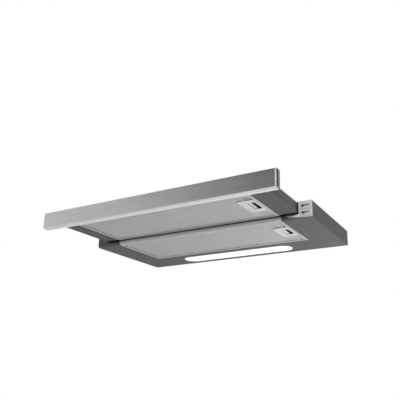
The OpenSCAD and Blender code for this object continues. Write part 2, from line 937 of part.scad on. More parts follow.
// Mains connection box on the left wall of the motor housing
module terminal_box() {
    low = [box_left_x - terminal_w, terminal_y, terminal_z];
    high = [box_left_x, terminal_y + terminal_d, terminal_z + terminal_h];
    wall = [terminal_wall, terminal_wall, terminal_wall];
    color("black") difference() {
        block(low, high);
        block(low + wall, [high.x - terminal_wall, high.y - terminal_wall, high.z + cut]);
        translate([0, terminal_y + terminal_d * gland_y_share, terminal_z + terminal_h / 2])
            rod_x(gland_r + clear, low.x - cut, low.x + terminal_wall + cut);
    }
}

module terminal_cover() {
    top = terminal_z + terminal_h;
    color("black") {
        block([box_left_x - terminal_w, terminal_y, top],
              [box_left_x, terminal_y + terminal_d, top + terminal_lid]);
        block([box_left_x - terminal_w + terminal_wall + clear, terminal_y + terminal_wall + clear,
               top - terminal_lid],
              [box_left_x - terminal_wall - clear, terminal_y + terminal_d - terminal_wall - clear, top]);
    }
}

// Gland where the mains lead would enter
module cable_gland() {
    face_x = box_left_x - terminal_w;
    color("black") translate([0, terminal_y + terminal_d * gland_y_share, terminal_z + terminal_h / 2])
        difference() {
            union() {
                rod_x(gland_r, face_x - gland_l, face_x + terminal_wall);
                rod_x(gland_nut_r, face_x - gland_nut_l, face_x);
                rod_x(gland_nut_r, face_x + terminal_wall, face_x + terminal_wall + gland_nut_l / 2);
                rod_x(gland_r, face_x + terminal_wall, face_x + terminal_wall + gland_nut_l / 2);
            }
            rod_x(gland_bore_r, face_x - gland_l - cut, face_x + terminal_wall + gland_nut_l / 2 + cut);
        }
}

// Duct collar with flange, flap seat and pin holes
module outlet_collar() {
    color("black") translate([outlet_x, outlet_y, collar_z]) difference() {
        union() {
            difference() {
                union() {
                    cylinder(r = collar_r, h = collar_h);
                    cylinder(r = collar_r + collar_flange, h = collar_flange_t);
                }
                translate([0, 0, -cut]) cylinder(r = collar_bore, h = collar_h + 2 * cut);
            }
            translate([0, 0, seat_lift]) difference() {
                cylinder(r = collar_bore + collar_t / 2, h = seat_t);
                translate([0, 0, -cut]) cylinder(r = collar_bore - seat_w, h = seat_t + 2 * cut);
            }
        }
        translate([0, 0, pin_z - collar_z]) rod_y(pin_r + running, -collar_r - cut, collar_r + cut);
        for (place = collar_screw_places())
            translate([place.x - outlet_x, place.y - outlet_y, -cut])
                cylinder(r = tap_r + running, h = collar_flange_t + 2 * cut);
    }
}

module damper_pin() {
    color("silver") translate([outlet_x, outlet_y, pin_z]) rod_y(pin_r, -collar_r, collar_r);
}

// Half round flap to the right of the pin, with every second knuckle
module damper_flap(first) {
    span = 2 * flap_r * knuckle_span_share;
    pitch = span / knuckle_count;
    translate([outlet_x, outlet_y, pin_z]) {
        difference() {
            union() {
                translate([0, 0, -flap_t / 2]) linear_extrude(flap_t) intersection() {
                    circle(flap_r);
                    rect([knuckle_r + knuckle_room, -flap_r], [flap_r, flap_r]);
                }
                for (i = [first:2:knuckle_count - 1]) {
                    low = -span / 2 + i * pitch + knuckle_room;
                    high = low + pitch - 2 * knuckle_room;
                    rod_y(knuckle_r, low, high);
                    block([0, low, -flap_t / 2], [knuckle_r + 2 * knuckle_room, high, flap_t / 2]);
                }
            }
            rod_y(pin_r + running, -flap_r, flap_r);
        }
    }
}

module damper_flap_right() {
    color("dimgray") damper_flap(0);
}

module damper_flap_left() {
    color("dimgray") translate([outlet_x, outlet_y, 0]) rotate([0, 0, 180])
        translate([-outlet_x, -outlet_y, 0]) damper_flap(0);
}

// Front panel skin: brushed sheet folded back all round
module front_panel() {
    low = [panel_front_y, panel_z];
    high = [panel_front_y + skin_d, panel_z + panel_h];
    color("silver") difference() {
        along_x(-panel_x, panel_x) skin_side(low, high, skin_edge_r);
        along_x(-panel_x + skin_t, panel_x - skin_t)
            skin_side(low + [skin_t, skin_t], [high.x + cut, high.y - skin_t], skin_edge_r - skin_t);
    }
}

// Side view of the skin: both front edges are slightly round
module skin_side(low, high, r) {
    rect([low.x + r, low.y], high);
    rect([low.x, low.y + r], [high.x, high.y - r]);
    for (z = [low.y + r, high.y - r]) translate([low.x + r, z]) circle(r);
}

// Hollow profile that fills the skin and closes the rear
module panel_backing() {
    inset = skin_t + skin_fit;
    step_y = panel_front_y + skin_d;
    low_y = panel_front_y + skin_t + skin_fit;
    color("dimgray") difference() {
        along_x(-panel_x + cap_t, panel_x - cap_t) difference() {
            union() {
                rect([low_y, panel_z + inset], [step_y + backing_wall, panel_z + panel_h - inset]);
                rect([step_y, panel_z], [drawer_front_y, panel_z + panel_h]);
            }
            rect([low_y + backing_wall, panel_z + inset + backing_wall],
                 [step_y, panel_z + panel_h - inset - backing_wall]);
            rect([step_y + backing_wall, panel_z + backing_wall],
                 [drawer_front_y - backing_wall, panel_z + panel_h - backing_wall]);
        }
        for (share = panel_screw_side_shares)
            translate([share * drawer_x, 0, panel_screw_z])
                rod_y(panel_screw_r + running, drawer_front_y - backing_wall - cut, drawer_front_y + cut);
    }
}

// End cap: closes the rear profile and plugs into it, right side
module panel_cap() {
    step_y = panel_front_y + skin_d;
    plug = backing_wall + clear;
    block([panel_x - cap_t, step_y + clear, panel_z], [panel_x, drawer_front_y, panel_z + panel_h]);
    block([panel_x - cap_t - cap_plug, step_y + plug, panel_z + plug],
          [panel_x - cap_t, drawer_front_y - plug, panel_z + panel_h - plug]);
}

module panel_cap_right() {
    color("gray") panel_cap();
}

module panel_cap_left() {
    color("gray") mirror([1, 0, 0]) panel_cap();
}

// Screws from inside the tray into the panel profile
module panel_screws() {
    head_y = drawer_front_y + drawer_t;
    color("silver") for (share = panel_screw_side_shares)
        translate([share * drawer_x, 0, panel_screw_z]) {
            rod_y(panel_screw_head_r, head_y, head_y + panel_screw_head_t);
            rod_y(panel_screw_r, drawer_front_y - backing_wall - cut, head_y);
        }
}

// Section of the tray: floor, round lower edges, side walls and inward flanges
module tray_section() {
    top = drawer_top_z;
    rect([-drawer_x + drawer_edge_r, drawer_z], [drawer_x - drawer_edge_r, drawer_z + drawer_t]);
    for (side = [0, 1]) mirror([side, 0]) {
        rect([drawer_x - drawer_t, drawer_z + drawer_edge_r], [drawer_x, top]);
        rect([drawer_x - drawer_flange, top - drawer_t], [drawer_x, top]);
        translate([drawer_x - drawer_edge_r, drawer_z + drawer_edge_r]) intersection() {
            difference() {
                circle(drawer_edge_r);
                circle(drawer_edge_r - drawer_t);
            }
            rect([0, -drawer_edge_r], [drawer_edge_r, 0]);
        }
    }
}

// Tray of the pull out: open rear, front wall to the panel, filter opening
module drawer_tray() {
    opening_x = front_filter_w / 2 + filter_gap;
    color("gray") difference() {
        union() {
            along_y(drawer_front_y, drawer_rear_y) tray_section();
            block([-drawer_x + drawer_t, drawer_front_y, drawer_z + drawer_t],
                  [drawer_x - drawer_t, drawer_front_y + drawer_t, drawer_top_z]);
        }
        block([-opening_x, front_filter_y - filter_gap, drawer_z - cut],
              [opening_x, front_filter_y + front_filter_d + filter_gap, drawer_z + drawer_t + cut]);
        for (share = panel_screw_side_shares)
            translate([share * drawer_x, 0, panel_screw_z])
                rod_y(panel_screw_r + running, drawer_front_y - cut, drawer_front_y + drawer_t + cut);
    }
}

// Top sheet of the pull out
module drawer_top() {
    color("silver") block([-drawer_x, drawer_front_y, drawer_top_z],
                          [drawer_x, drawer_rear_y, drawer_top_z + drawer_top_t]);
}

// Angle bar under the rear edge of the top sheet
module drawer_rear_bar() {
    color("gray") along_x(-drawer_x + drawer_flange + clear, drawer_x - drawer_flange - clear) {
        rect([drawer_rear_y - drawer_t, drawer_top_z - bar_h], [drawer_rear_y, drawer_top_z]);
        rect([drawer_rear_y - bar_d, drawer_top_z - drawer_t], [drawer_rear_y, drawer_top_z]);
        rect([drawer_rear_y - bar_d, drawer_top_z - bar_h], [drawer_rear_y - bar_d + drawer_t, drawer_top_z]);
    }
}

// Filter cassettes are drawn from their left front lower corner.
// Block of a cassette whose front lower edge has the radius r
module cassette(w, d, inset, r) {
    along_x(inset, w - inset) nose([inset, inset], [d - inset, lip_h - inset], r);
}

// Slot for the tongue of the catch, in a wall that starts at x
module tongue_slot(x, wall, middle) {
    block([x - cut, middle - tongue_w / 2 - bolt_play, bolt_lift - clear],
          [x + wall + cut, middle + tongue_w / 2 + bolt_play, bolt_lift + bolt_t + clear]);
}

// Frame folded from sheet, with two hooks at the left end
module filter_frame(w, d, r) {
    difference() {
        cassette(w, d, 0, r);
        cassette(w, d, frame_t, r > 0 ? r - frame_t : 0);
        block([filter_rim, filter_rim + r / 2, -cut], [w - filter_rim, d - filter_rim, lip_h + cut]);
        tongue_slot(w - frame_t, frame_t, d / 2);
    }
    for (share = [hook_share, 1 - hook_share])
        block([-hook_l, d * share - hook_w / 2, sheet_t + clear],
              [frame_t, d * share + hook_w / 2, sheet_t + clear + hook_t]);
}

// Room for the handle and its pocket in the layers
module handle_room(w, d, low, high) {
    block([w - handle_inset - pocket_left - clear, d / 2 - pocket_d / 2 - clear, low - cut],
          [w, d / 2 + pocket_d / 2 + clear, high + cut]);
}

// Diamond openings of the expanded sheet in staggered rows
module diamonds(w, d) {
    pitch_x = diamond_w + diamond_web_w;
    pitch_y = (diamond_h + diamond_web_h) / 2;
    columns = floor((w - pitch_x) / pitch_x);
    rows = floor((d - 2 * pitch_y) / pitch_y / 2) * 2 - 1;
    for (row = [0:rows - 1], column = [0:columns - 1 - row % 2])
        translate([
            w / 2 + (column - (columns - 1 - row % 2) / 2) * pitch_x,
            d / 2 + (row - (rows - 1) / 2) * pitch_y
        ]) polygon([[-diamond_w / 2, 0], [0, -diamond_h / 2], [diamond_w / 2, 0], [0, diamond_h / 2]]);
}

// Lower and upper sheet of expanded metal
module filter_mesh(w, d, r) {
    start = max(frame_t + clear, r);
    open_y = filter_rim + r / 2;
    difference() {
        for (low = [frame_t, lip_h - frame_t - mesh_t])
            translate([0, 0, low]) linear_extrude(mesh_t) difference() {
                rect([frame_t + clear, start], [w - frame_t - clear, d - frame_t - clear]);
                translate([filter_rim, open_y]) diamonds(w - 2 * filter_rim, d - open_y - filter_rim);
            }
        handle_room(w, d, 0, lip_h);
    }
}

// Corrugated layer between the two sheets
module filter_core(w, d, r) {
    start = max(frame_t + clear, r);
    low = frame_t + mesh_t + clear;
    high = lip_h - low;
    count = floor((w - 2 * filter_rim) / core_pitch);
    left = (w - count * core_pitch) / 2;
    difference() {
        along_y(start, d - filter_rim) polygon([
            for (i = [0:count * 2])
                [left + i * core_pitch / 2, i % 2 == 0 ? low : high - core_t],
            for (i = [count * 2:-1:0])
                [left + i * core_pitch / 2, i % 2 == 0 ? low + core_t : high]
        ]);
        handle_room(w, d, low, high);
    }
}

// Handle: flush plate with a pocket behind it and the finger opening
module filter_handle(w, d) {
    ceiling = lip_h - frame_t - 2 * clear;
    translate([w - handle_inset, d / 2, 0]) difference() {
        union() {
            linear_extrude(frame_t) round_rect(plate_w, plate_d, plate_r);
            block([-pocket_left, -pocket_d / 2, frame_t - clear], [pocket_right, pocket_d / 2, ceiling]);
        }
        block([-pocket_left + pocket_wall, -pocket_d / 2 + pocket_wall, frame_t],
              [pocket_right - pocket_wall, pocket_d / 2 - pocket_wall, ceiling - pocket_wall]);
        block([-finger_left, -finger_d / 2, -cut], [finger_right, finger_d / 2, frame_t + cut]);
        block([plate_w / 2, -pocket_d / 2 - cut, 0],
              [pocket_right + cut, pocket_d / 2 + cut, frame_t + clear]);
        tongue_slot(pocket_right - pocket_wall, pocket_wall, 0);
    }
}

// Finger bar of the catch
module filter_lever(w, d) {
    translate([w - handle_inset, d / 2, bolt_lift]) {
        block([-finger_left, -lever_d / 2, 0], [-finger_left + lever_w, lever_d / 2, bolt_t]);
        block([-finger_left, -finger_d / 2 + clear, 0],
              [-finger_left + lever_lip, finger_d / 2 - clear, 2 * bolt_t]);
    }
}

// Sliding bolt: two arms round the finger opening, a cross bar and the tongue
module filter_bolt(w, d) {
    lever_x = lever_w - finger_left;
    bar_x = pocket_right - pocket_wall - bolt_play;
    translate([w - handle_inset, d / 2, bolt_lift]) linear_extrude(bolt_t) {
        difference() {
            rect([lever_x, -lever_d / 2], [bar_x, lever_d / 2]);
            rect([lever_x - cut, arm_w - lever_d / 2], [bar_x - crossbar_w, lever_d / 2 - arm_w]);
        }
        rect([bar_x - crossbar_w, -tongue_w / 2], [handle_inset + filter_gap + tongue_reach, tongue_w / 2]);
    }
}

// Place of each cassette
module in_front() {
    translate([front_filter_x, front_filter_y, drawer_z]) children();
}

module in_rear() {
    translate([rear_filter_x, front_y, floor_z]) children();
}

module front_filter_frame() {
    color("lightgray") in_front() filter_frame(front_filter_w, front_filter_d, 0);
}

module front_filter_mesh() {
    color("darkgray") in_front() filter_mesh(front_filter_w, front_filter_d, 0);
}

module front_filter_core() {
    color("gray") in_front() filter_core(front_filter_w, front_filter_d, 0);
}

module front_filter_handle() {
    color("gainsboro") in_front() filter_handle(front_filter_w, front_filter_d);
}

module front_filter_lever() {
    color("white") in_front() filter_lever(front_filter_w, front_filter_d);
}

module front_filter_bolt() {
    color("dimgray") in_front() filter_bolt(front_filter_w, front_filter_d);
}

module rear_filter_frame() {
    color("lightgray") in_rear() filter_frame(rear_filter_w, rear_filter_d, bend_r);
}

module rear_filter_mesh() {
    color("darkgray") in_rear() filter_mesh(rear_filter_w, rear_filter_d, bend_r);
}

module rear_filter_core() {
    color("gray") in_rear() filter_core(rear_filter_w, rear_filter_d, bend_r);
}

module rear_filter_handle() {
    color("gainsboro") in_rear() filter_handle(rear_filter_w, rear_filter_d);
}

module rear_filter_lever() {
    color("white") in_rear() filter_lever(rear_filter_w, rear_filter_d);
}

module rear_filter_bolt() {
    color("dimgray") in_rear() filter_bolt(rear_filter_w, rear_filter_d);
}

shell_pan();
shell_top();
rail_left();
rail_right();
lamp_tray();
led_board();
led_driver();
lamp_diffuser();
diffuser_screws();
control_plate();
switch_block();
door_switch();
motor_box();
housing_screws();
scroll_lower();
scroll_upper();
inlet_guard();
motor();
motor_bushes();
motor_screws();
capacitor();
terminal_box();
terminal_cover();
cable_gland();
outlet_collar();
damper_pin();
front_panel();
panel_backing();
panel_cap_left();
panel_cap_right();
panel_screws();
drawer_tray();
drawer_top();
drawer_rear_bar();
carriage_left();
carriage_right();
roller_left_front();
roller_left_rear();
roller_right_front();
roller_right_rear();
front_filter_frame();
front_filter_mesh();
front_filter_core();
front_filter_handle();
front_filter_lever();
front_filter_bolt();
rear_filter_frame();
rear_filter_mesh();
rear_filter_core();
rear_filter_handle();
rear_filter_lever();
rear_filter_bolt();
speed_knob();
light_knob();
switch_plunger();
impeller();
impeller_disc();
motor_shaft();
damper_flap_left();
damper_flap_right();
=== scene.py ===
# %% [markdown]
# This lesson dresses a pull out range hood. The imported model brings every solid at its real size, so the
# work here is light, finish and the pieces that are too fine for a plain solid: the expanded metal of the
# grease filters, the hemmed edges of their frames and the heads of the screws. Everything is in metres,
# with X to the right along the front panel, Y to the rear wall and Z up to the duct.

# %% Load the hood
import json
import math

import bmesh
import bpy
from mathutils import Euler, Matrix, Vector


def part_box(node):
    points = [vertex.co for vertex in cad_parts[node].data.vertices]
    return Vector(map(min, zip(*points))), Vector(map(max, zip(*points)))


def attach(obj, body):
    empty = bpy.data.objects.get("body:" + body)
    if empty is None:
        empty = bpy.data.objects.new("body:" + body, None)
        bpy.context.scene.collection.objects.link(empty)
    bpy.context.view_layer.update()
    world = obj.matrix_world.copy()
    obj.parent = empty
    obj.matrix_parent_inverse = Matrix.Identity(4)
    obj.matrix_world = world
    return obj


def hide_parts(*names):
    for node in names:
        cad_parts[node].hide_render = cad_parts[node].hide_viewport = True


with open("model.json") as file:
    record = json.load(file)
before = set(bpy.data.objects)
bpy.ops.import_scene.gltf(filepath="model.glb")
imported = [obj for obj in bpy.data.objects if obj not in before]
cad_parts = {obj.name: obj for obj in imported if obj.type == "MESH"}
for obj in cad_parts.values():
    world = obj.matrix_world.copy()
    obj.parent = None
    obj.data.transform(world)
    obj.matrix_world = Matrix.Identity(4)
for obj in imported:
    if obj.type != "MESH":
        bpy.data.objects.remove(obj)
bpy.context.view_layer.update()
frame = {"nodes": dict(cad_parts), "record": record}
nodes = frame["nodes"]
scene = bpy.context.scene
MM = 0.001

# %% [markdown]
# The hood hangs above eye level and is seen from below, from its right. A camera with a slight upward
# tilt shows the front panel, the underside of the pull out and the lamp at once. The lens and the place
# come from lining up the corners of the panel, the pull out and the filters. A small shift of the lens
# moves the hood left and up in the picture, without turning the camera.

# %% Camera
CAMERA_PLACE = Vector((0.6535, -1.1396, -0.3883))
CAMERA_YAW = 28.79
CAMERA_PITCH = 16.77
CAMERA_ROLL = 0.69
CAMERA_LENS = 46.94
CAMERA_SENSOR = 36
CAMERA_SHIFT = 0.075
NEAREST_SEEN = 0.01

lens = bpy.data.cameras.new("hood_camera")
lens.lens = CAMERA_LENS
lens.sensor_width = CAMERA_SENSOR
lens.shift_x = -CAMERA_SHIFT
lens.shift_y = CAMERA_SHIFT
lens.clip_start = NEAREST_SEEN
camera = bpy.data.objects.new("hood_camera", lens)
scene.collection.objects.link(camera)
scene.camera = camera

yaw = math.radians(CAMERA_YAW)
pitch = math.radians(CAMERA_PITCH)
roll = Euler((0, 0, math.radians(CAMERA_ROLL))).to_matrix()
forward = Vector((-math.sin(yaw) * math.cos(pitch), math.cos(yaw) * math.cos(pitch), math.sin(pitch)))
turn = forward.to_track_quat("-Z", "Y").to_matrix() @ roll
camera.matrix_world = turn.to_4x4()
camera.location = CAMERA_PLACE
print("camera", [round(x, 3) for x in camera.location], "lens", CAMERA_LENS)

# %% [markdown]
# Steel shows its surroundings, so the room matters more than the lamps. Seen directly, the room is plain
# white. Steel sees a pale kitchen below the hood and a dark grey above it, and the left side grows
# lighter, because a window is there. That gives the brushed front its slow change of shade. All other
# light comes from the same room at a plain level and from soft boxes, which the steel doesn't mirror.

# %% Room
WHITE = (1.0, 1.0, 1.0, 1.0)
MIRRORED_TINT = (0.8, 0.8, 0.8, 1.0)
ROOM_LIGHT = 0.42
LOWER_WHITE = 0.82
UPPER_GREY = 0.045
HORIZON = (-0.05, 0.3)
WINDOW_SIDE = 0.78
WINDOW_EDGE = (-0.42, -0.62)


def add_node(tree, kind, **values):
    """A node of a kind, with its properties set."""
    made = tree.nodes.new(kind)
    for key, value in values.items():
        setattr(made, key, value)
    return made


def feed(tree, node, values):
    """Give the first inputs of a node their values: a number is set and a socket is linked."""
    for index, value in enumerate(values):
        if isinstance(value, (int, float)):
            node.inputs[index].default_value = value
        else:
            tree.links.new(value, node.inputs[index])


def math_node(tree, operation, *values, clamp=False):
    """The result of a math node on sockets or numbers."""
    made = add_node(tree, "ShaderNodeMath", operation=operation, use_clamp=clamp)
    feed(tree, made, values)
    return made.outputs[0]


def map_range(tree, source, old_range, new_range, **settings):
    """A value moved from one range to another."""
    made = add_node(tree, "ShaderNodeMapRange", **settings)
    tree.links.new(source, made.inputs["Value"])
    for label, value in zip(("From Min", "From Max", "To Min", "To Max"), (*old_range, *new_range)):
        made.inputs[label].default_value = value
    return made.outputs[0]


def shader_mix(tree, factor, first, second):
    """A blend of two shaders, with the first at factor 0 and the second at 1."""
    made = add_node(tree, "ShaderNodeMixShader")
    feed(tree, made, (factor, first, second))
    return made.outputs[0]


def light_path_masks(tree):
    """Two masks: rays that look at the room directly, and rays in a reflection or through glass."""
    path = add_node(tree, "ShaderNodeLightPath")
    glossy = path.outputs["Is Glossy Ray"]
    through_glass = path.outputs["Is Transmission Ray"]
    return path.outputs["Is Camera Ray"], math_node(tree, "MAXIMUM", glossy, through_glass)


def background(tree, colour, strength):
    """A world shader of a colour, with a number or a socket as its strength."""
    made = add_node(tree, "ShaderNodeBackground")
    made.inputs["Color"].default_value = colour
    if isinstance(strength, float):
        made.inputs["Strength"].default_value = strength
    else:
        tree.links.new(strength, made.inputs["Strength"])
    return made.outputs[0]


room = bpy.data.worlds.new("kitchen_room")
room.use_nodes = True
scene.world = room
scene.view_settings.view_transform = "Standard"
tree = room.node_tree
tree.nodes.clear()
seen, mirrored = light_path_masks(tree)
direction = add_node(tree, "ShaderNodeTexCoord")
split = add_node(tree, "ShaderNodeSeparateXYZ")
tree.links.new(direction.outputs["Generated"], split.inputs[0])
height = map_range(tree, split.outputs["Z"], HORIZON, (LOWER_WHITE, UPPER_GREY),
                   interpolation_type="SMOOTHSTEP")
window = map_range(tree, split.outputs["X"], WINDOW_EDGE, (0.0, WINDOW_SIDE))
mirrored_level = math_node(tree, "ADD", height, window, clamp=True)
plain_room = background(tree, WHITE, ROOM_LIGHT)
mirrored_room = background(tree, MIRRORED_TINT, mirrored_level)
seen_room = background(tree, WHITE, 1.0)
unseen_room = shader_mix(tree, mirrored, plain_room, mirrored_room)
world_out = add_node(tree, "ShaderNodeOutputWorld")
tree.links.new(shader_mix(tree, seen, unseen_room, seen_room), world_out.inputs["Surface"])
print("room light", ROOM_LIGHT)

# %% [markdown]
# An area lamp lights like a studio's soft box. Its size sets how soft the shadows are, and its place
# which faces it reaches. All lamps are hidden from mirroring surfaces with visible_glossy, so that the
# steel shows the room alone and no hard rectangles.

# %% Soft boxes
HOOD_MIDDLE = (0.0, -0.1, -0.02)
RIGHT_HALF = (0.3, -0.13, -0.02)
LAMP_SIDE = (0.2, 0.05, -0.04)


def soft_box(name, place, aim, size, watts):
    """A rectangular lamp that looks from its place at a point, with its size as width and height."""
    data = bpy.data.lights.new(name, "AREA")
    data.shape = "RECTANGLE"
    data.size, data.size_y = size
    data.energy = watts
    lamp = bpy.data.objects.new(name, data)
    scene.collection.objects.link(lamp)
    lamp.location = place
    lamp.rotation_euler = (Vector(aim) - Vector(place)).to_track_quat("-Z", "Y").to_euler()
    lamp.visible_glossy = False
    return lamp


soft_boxes = [
    soft_box("front_left_box", (-1.9, -1.5, 0.5), HOOD_MIDDLE, size=(1.6, 1.2), watts=32),
    soft_box("right_box", (1.6, -0.6, -0.5), HOOD_MIDDLE, size=(0.8, 0.8), watts=3),
    soft_box("front_right_box", (0.5, -0.9, 0.15), RIGHT_HALF, size=(0.3, 0.3), watts=12),
    soft_box("low_box", (0.6, 0.2, -0.42), LAMP_SIDE, size=(0.5, 0.5), watts=5),
    soft_box("back_box", (0.9, 1.8, 1.2), HOOD_MIDDLE, size=(1.4, 1.0), watts=50),
]
print("soft boxes:", [box.name for box in soft_boxes])

# %% [markdown]
# A pale floor at the height of a worktop catches the hood's shadow in the views from above. Most of its
# brightness is its own, so that it looks as white as the room behind it. Its underside is transparent,
# so it never hides the hood from a camera that stands below it.

# %% Worktop level
FLOOR_DROP = 0.65
FLOOR_HALF = 6.0
FLOOR_COLOUR = (0.85, 0.85, 0.85, 1.0)
FLOOR_OWN_SHARE = 0.7
FLOOR_SEEN = 1.2
FLOOR_MIRRORED = 0.72

floor_mesh = bmesh.new()
bmesh.ops.create_grid(floor_mesh, x_segments=1, y_segments=1, size=FLOOR_HALF)
bmesh.ops.translate(floor_mesh, verts=floor_mesh.verts, vec=(0, 0, -FLOOR_DROP))
floor_data = bpy.data.meshes.new("worktop_level")
floor_mesh.to_mesh(floor_data)
floor_mesh.free()
floor = bpy.data.objects.new("worktop_level", floor_data)
scene.collection.objects.link(floor)
floor_paint = bpy.data.materials.new("floor_white")
floor_paint.use_nodes = True
tree = floor_paint.node_tree
tree.nodes.clear()
seen, mirrored = light_path_masks(tree)
matte = add_node(tree, "ShaderNodeBsdfDiffuse")
matte.inputs["Color"].default_value = FLOOR_COLOUR
own = add_node(tree, "ShaderNodeEmission")
own.inputs["Color"].default_value = WHITE
own_level = math_node(tree, "MULTIPLY_ADD", seen, FLOOR_SEEN - FLOOR_MIRRORED, FLOOR_MIRRORED)
tree.links.new(own_level, own.inputs["Strength"])
either = math_node(tree, "MAXIMUM", seen, mirrored)
own_share = math_node(tree, "MULTIPLY", either, FLOOR_OWN_SHARE)
upper_side = shader_mix(tree, own_share, matte.outputs[0], own.outputs[0])
side_seen = add_node(tree, "ShaderNodeNewGeometry")
underside = add_node(tree, "ShaderNodeBsdfTransparent")
both_sides = shader_mix(tree, side_seen.outputs["Backfacing"], upper_side, underside.outputs[0])
floor_out = add_node(tree, "ShaderNodeOutputMaterial")
tree.links.new(both_sides, floor_out.inputs["Surface"])
floor.data.materials.append(floor_paint)
print("floor at", -FLOOR_DROP)

# %% [markdown]
# Three surface effects return on many pieces, so each is a node group with its own inputs. Brushing is
# noise that is stretched along the stroke. Sheet and paint have a slow cloudiness. Moulded plastic has
# the fine grain of its mould. A group puts out only a shade, a height and a mask, and the shader stays
# in the material.

# %% Surface groups
FLOAT = "NodeSocketFloat"
VECTOR = "NodeSocketVector"
NOISE_RANGE = (0.3, 0.7)
CLOUD_DETAIL = 3.0
SURFACE_INPUTS = [("Vector", VECTOR, None), ("Along", FLOAT, 0.1), ("Across", FLOAT, 0.001)]
SURFACE_OUTPUTS = ["Shade", "Height", "Mask"]


def new_group(name, inputs, outputs):
    """An empty shader group with float or vector inputs and float outputs."""
    group = bpy.data.node_groups.new(name, "ShaderNodeTree")
    for label, kind, value in inputs:
        socket = group.interface.new_socket(name=label, in_out="INPUT", socket_type=kind)
        if kind == FLOAT:
            socket.default_value = value
    for label in outputs:
        group.interface.new_socket(name=label, in_out="OUTPUT", socket_type=FLOAT)
    return group, group.nodes.new("NodeGroupInput"), group.nodes.new("NodeGroupOutput")


def vector_node(tree, x, y, z):
    """A vector from three sockets or numbers."""
    made = add_node(tree, "ShaderNodeCombineXYZ")
    feed(tree, made, (x, y, z))
    return made.outputs[0]


def noise(group, source, scale, detail):
    """A noise pattern with a scale and a level of detail."""
    made = add_node(group, "ShaderNodeTexNoise")
    made.inputs["Scale"].default_value = scale
    made.inputs["Detail"].default_value = detail
    group.links.new(source, made.inputs["Vector"])
    return made.outputs["Fac"]


def stretched_noise(group, source, along, across, detail):
    """Noise whose pattern is set by a size along X and a size across it, both in metres."""
    factors = [math_node(group, "DIVIDE", 1.0, size) for size in (along, across, across)]
    scaled = add_node(group, "ShaderNodeVectorMath", operation="MULTIPLY")
    feed(group, scaled, (source, vector_node(group, *factors)))
    return noise(group, scaled.outputs[0], 1.0, detail)


def surface_group(name, shade_range, detail, cloud_size):
    """Fine pattern for shade and height, with a slow cloud as a mask."""
    group, entry, leave = new_group(name, SURFACE_INPUTS, SURFACE_OUTPUTS)
    place, along, across = (entry.outputs[label] for label in ("Vector", "Along", "Across"))
    fine = stretched_noise(group, place, along, across, detail)
    cloud = noise(group, place, 1 / cloud_size, CLOUD_DETAIL)
    group.links.new(map_range(group, fine, NOISE_RANGE, shade_range), leave.inputs["Shade"])
    group.links.new(fine, leave.inputs["Height"])
    group.links.new(map_range(group, cloud, NOISE_RANGE, (0.0, 1.0)), leave.inputs["Mask"])
    return group


brushing = surface_group("brushing", shade_range=(0.9, 1.1), detail=4.0, cloud_size=0.16)
rolled_sheet = surface_group("rolled_sheet", shade_range=(0.95, 1.05), detail=5.0, cloud_size=0.09)
mould_grain = surface_group("mould_grain", shade_range=(0.96, 1.04), detail=2.0, cloud_size=0.03)
print("groups:", brushing.name, rolled_sheet.name, mould_grain.name)

# %% [markdown]
# Every finish of the hood is one material with its own values in one of these groups. The colour is set
# as it should look in plain light. The shade varies it, the mask moves the roughness a little where
# hands and cloths went, and the height feeds a small bump. The lengths of a pattern and the height of
# its bump are written in millimetres.

# %% Finishes
ROUGHNESS_CHANGE = 0.06
BUMP_STRENGTH = 0.35


def finish(name, colour, roughness, group, along, across, bump, metal=0.0, gloss=0.5):
    """A procedural material from a surface group."""
    material = bpy.data.materials.new(name)
    material.use_nodes = True
    tree = material.node_tree
    shader = tree.nodes["Principled BSDF"]
    shader.inputs["Metallic"].default_value = metal
    shader.inputs["Specular IOR Level"].default_value = gloss
    place = add_node(tree, "ShaderNodeTexCoord")
    pattern = add_node(tree, "ShaderNodeGroup")
    pattern.node_tree = group
    pattern.inputs["Along"].default_value = along * MM
    pattern.inputs["Across"].default_value = across * MM
    tree.links.new(place.outputs["Object"], pattern.inputs["Vector"])
    tint = add_node(tree, "ShaderNodeMix", data_type="RGBA", blend_type="MULTIPLY")
    tint.inputs["Factor"].default_value = 1.0
    tint.inputs["A"].default_value = (*colour, 1.0)
    tree.links.new(pattern.outputs["Shade"], tint.inputs["B"])
    tree.links.new(tint.outputs["Result"], shader.inputs["Base Color"])
    rough_range = (roughness - ROUGHNESS_CHANGE / 2, roughness + ROUGHNESS_CHANGE / 2)
    rough = map_range(tree, pattern.outputs["Mask"], (0.0, 1.0), rough_range)
    tree.links.new(rough, shader.inputs["Roughness"])
    relief = add_node(tree, "ShaderNodeBump")
    relief.inputs["Strength"].default_value = BUMP_STRENGTH
    relief.inputs["Distance"].default_value = bump * MM
    tree.links.new(pattern.outputs["Height"], relief.inputs["Height"])
    tree.links.new(relief.outputs["Normal"], shader.inputs["Normal"])
    return material


def brushed(name, colour, roughness, metal):
    """Brushed steel, with long fine strokes along X."""
    return finish(name, colour, roughness, brushing, along=120, across=0.6, bump=0.03, metal=metal)


def sheet(name, colour, roughness, along, across, bump=0.03, metal=0.0, gloss=0.5):
    """Rolled or painted sheet, with the length and the width of its clouds."""
    return finish(name, colour, roughness, rolled_sheet, along, across, bump, metal, gloss)


def moulded(name, colour, roughness, grain=1.2, bump=0.03, metal=0.0):
    """A moulded or cast piece, with a grain of one size in all directions."""
    return finish(name, colour, roughness, mould_grain, grain, grain, bump, metal)


def grey(value, warm=0.0):
    """A neutral colour, a touch warmer or cooler."""
    return (value * (1 + warm), value, value * (1 - warm))


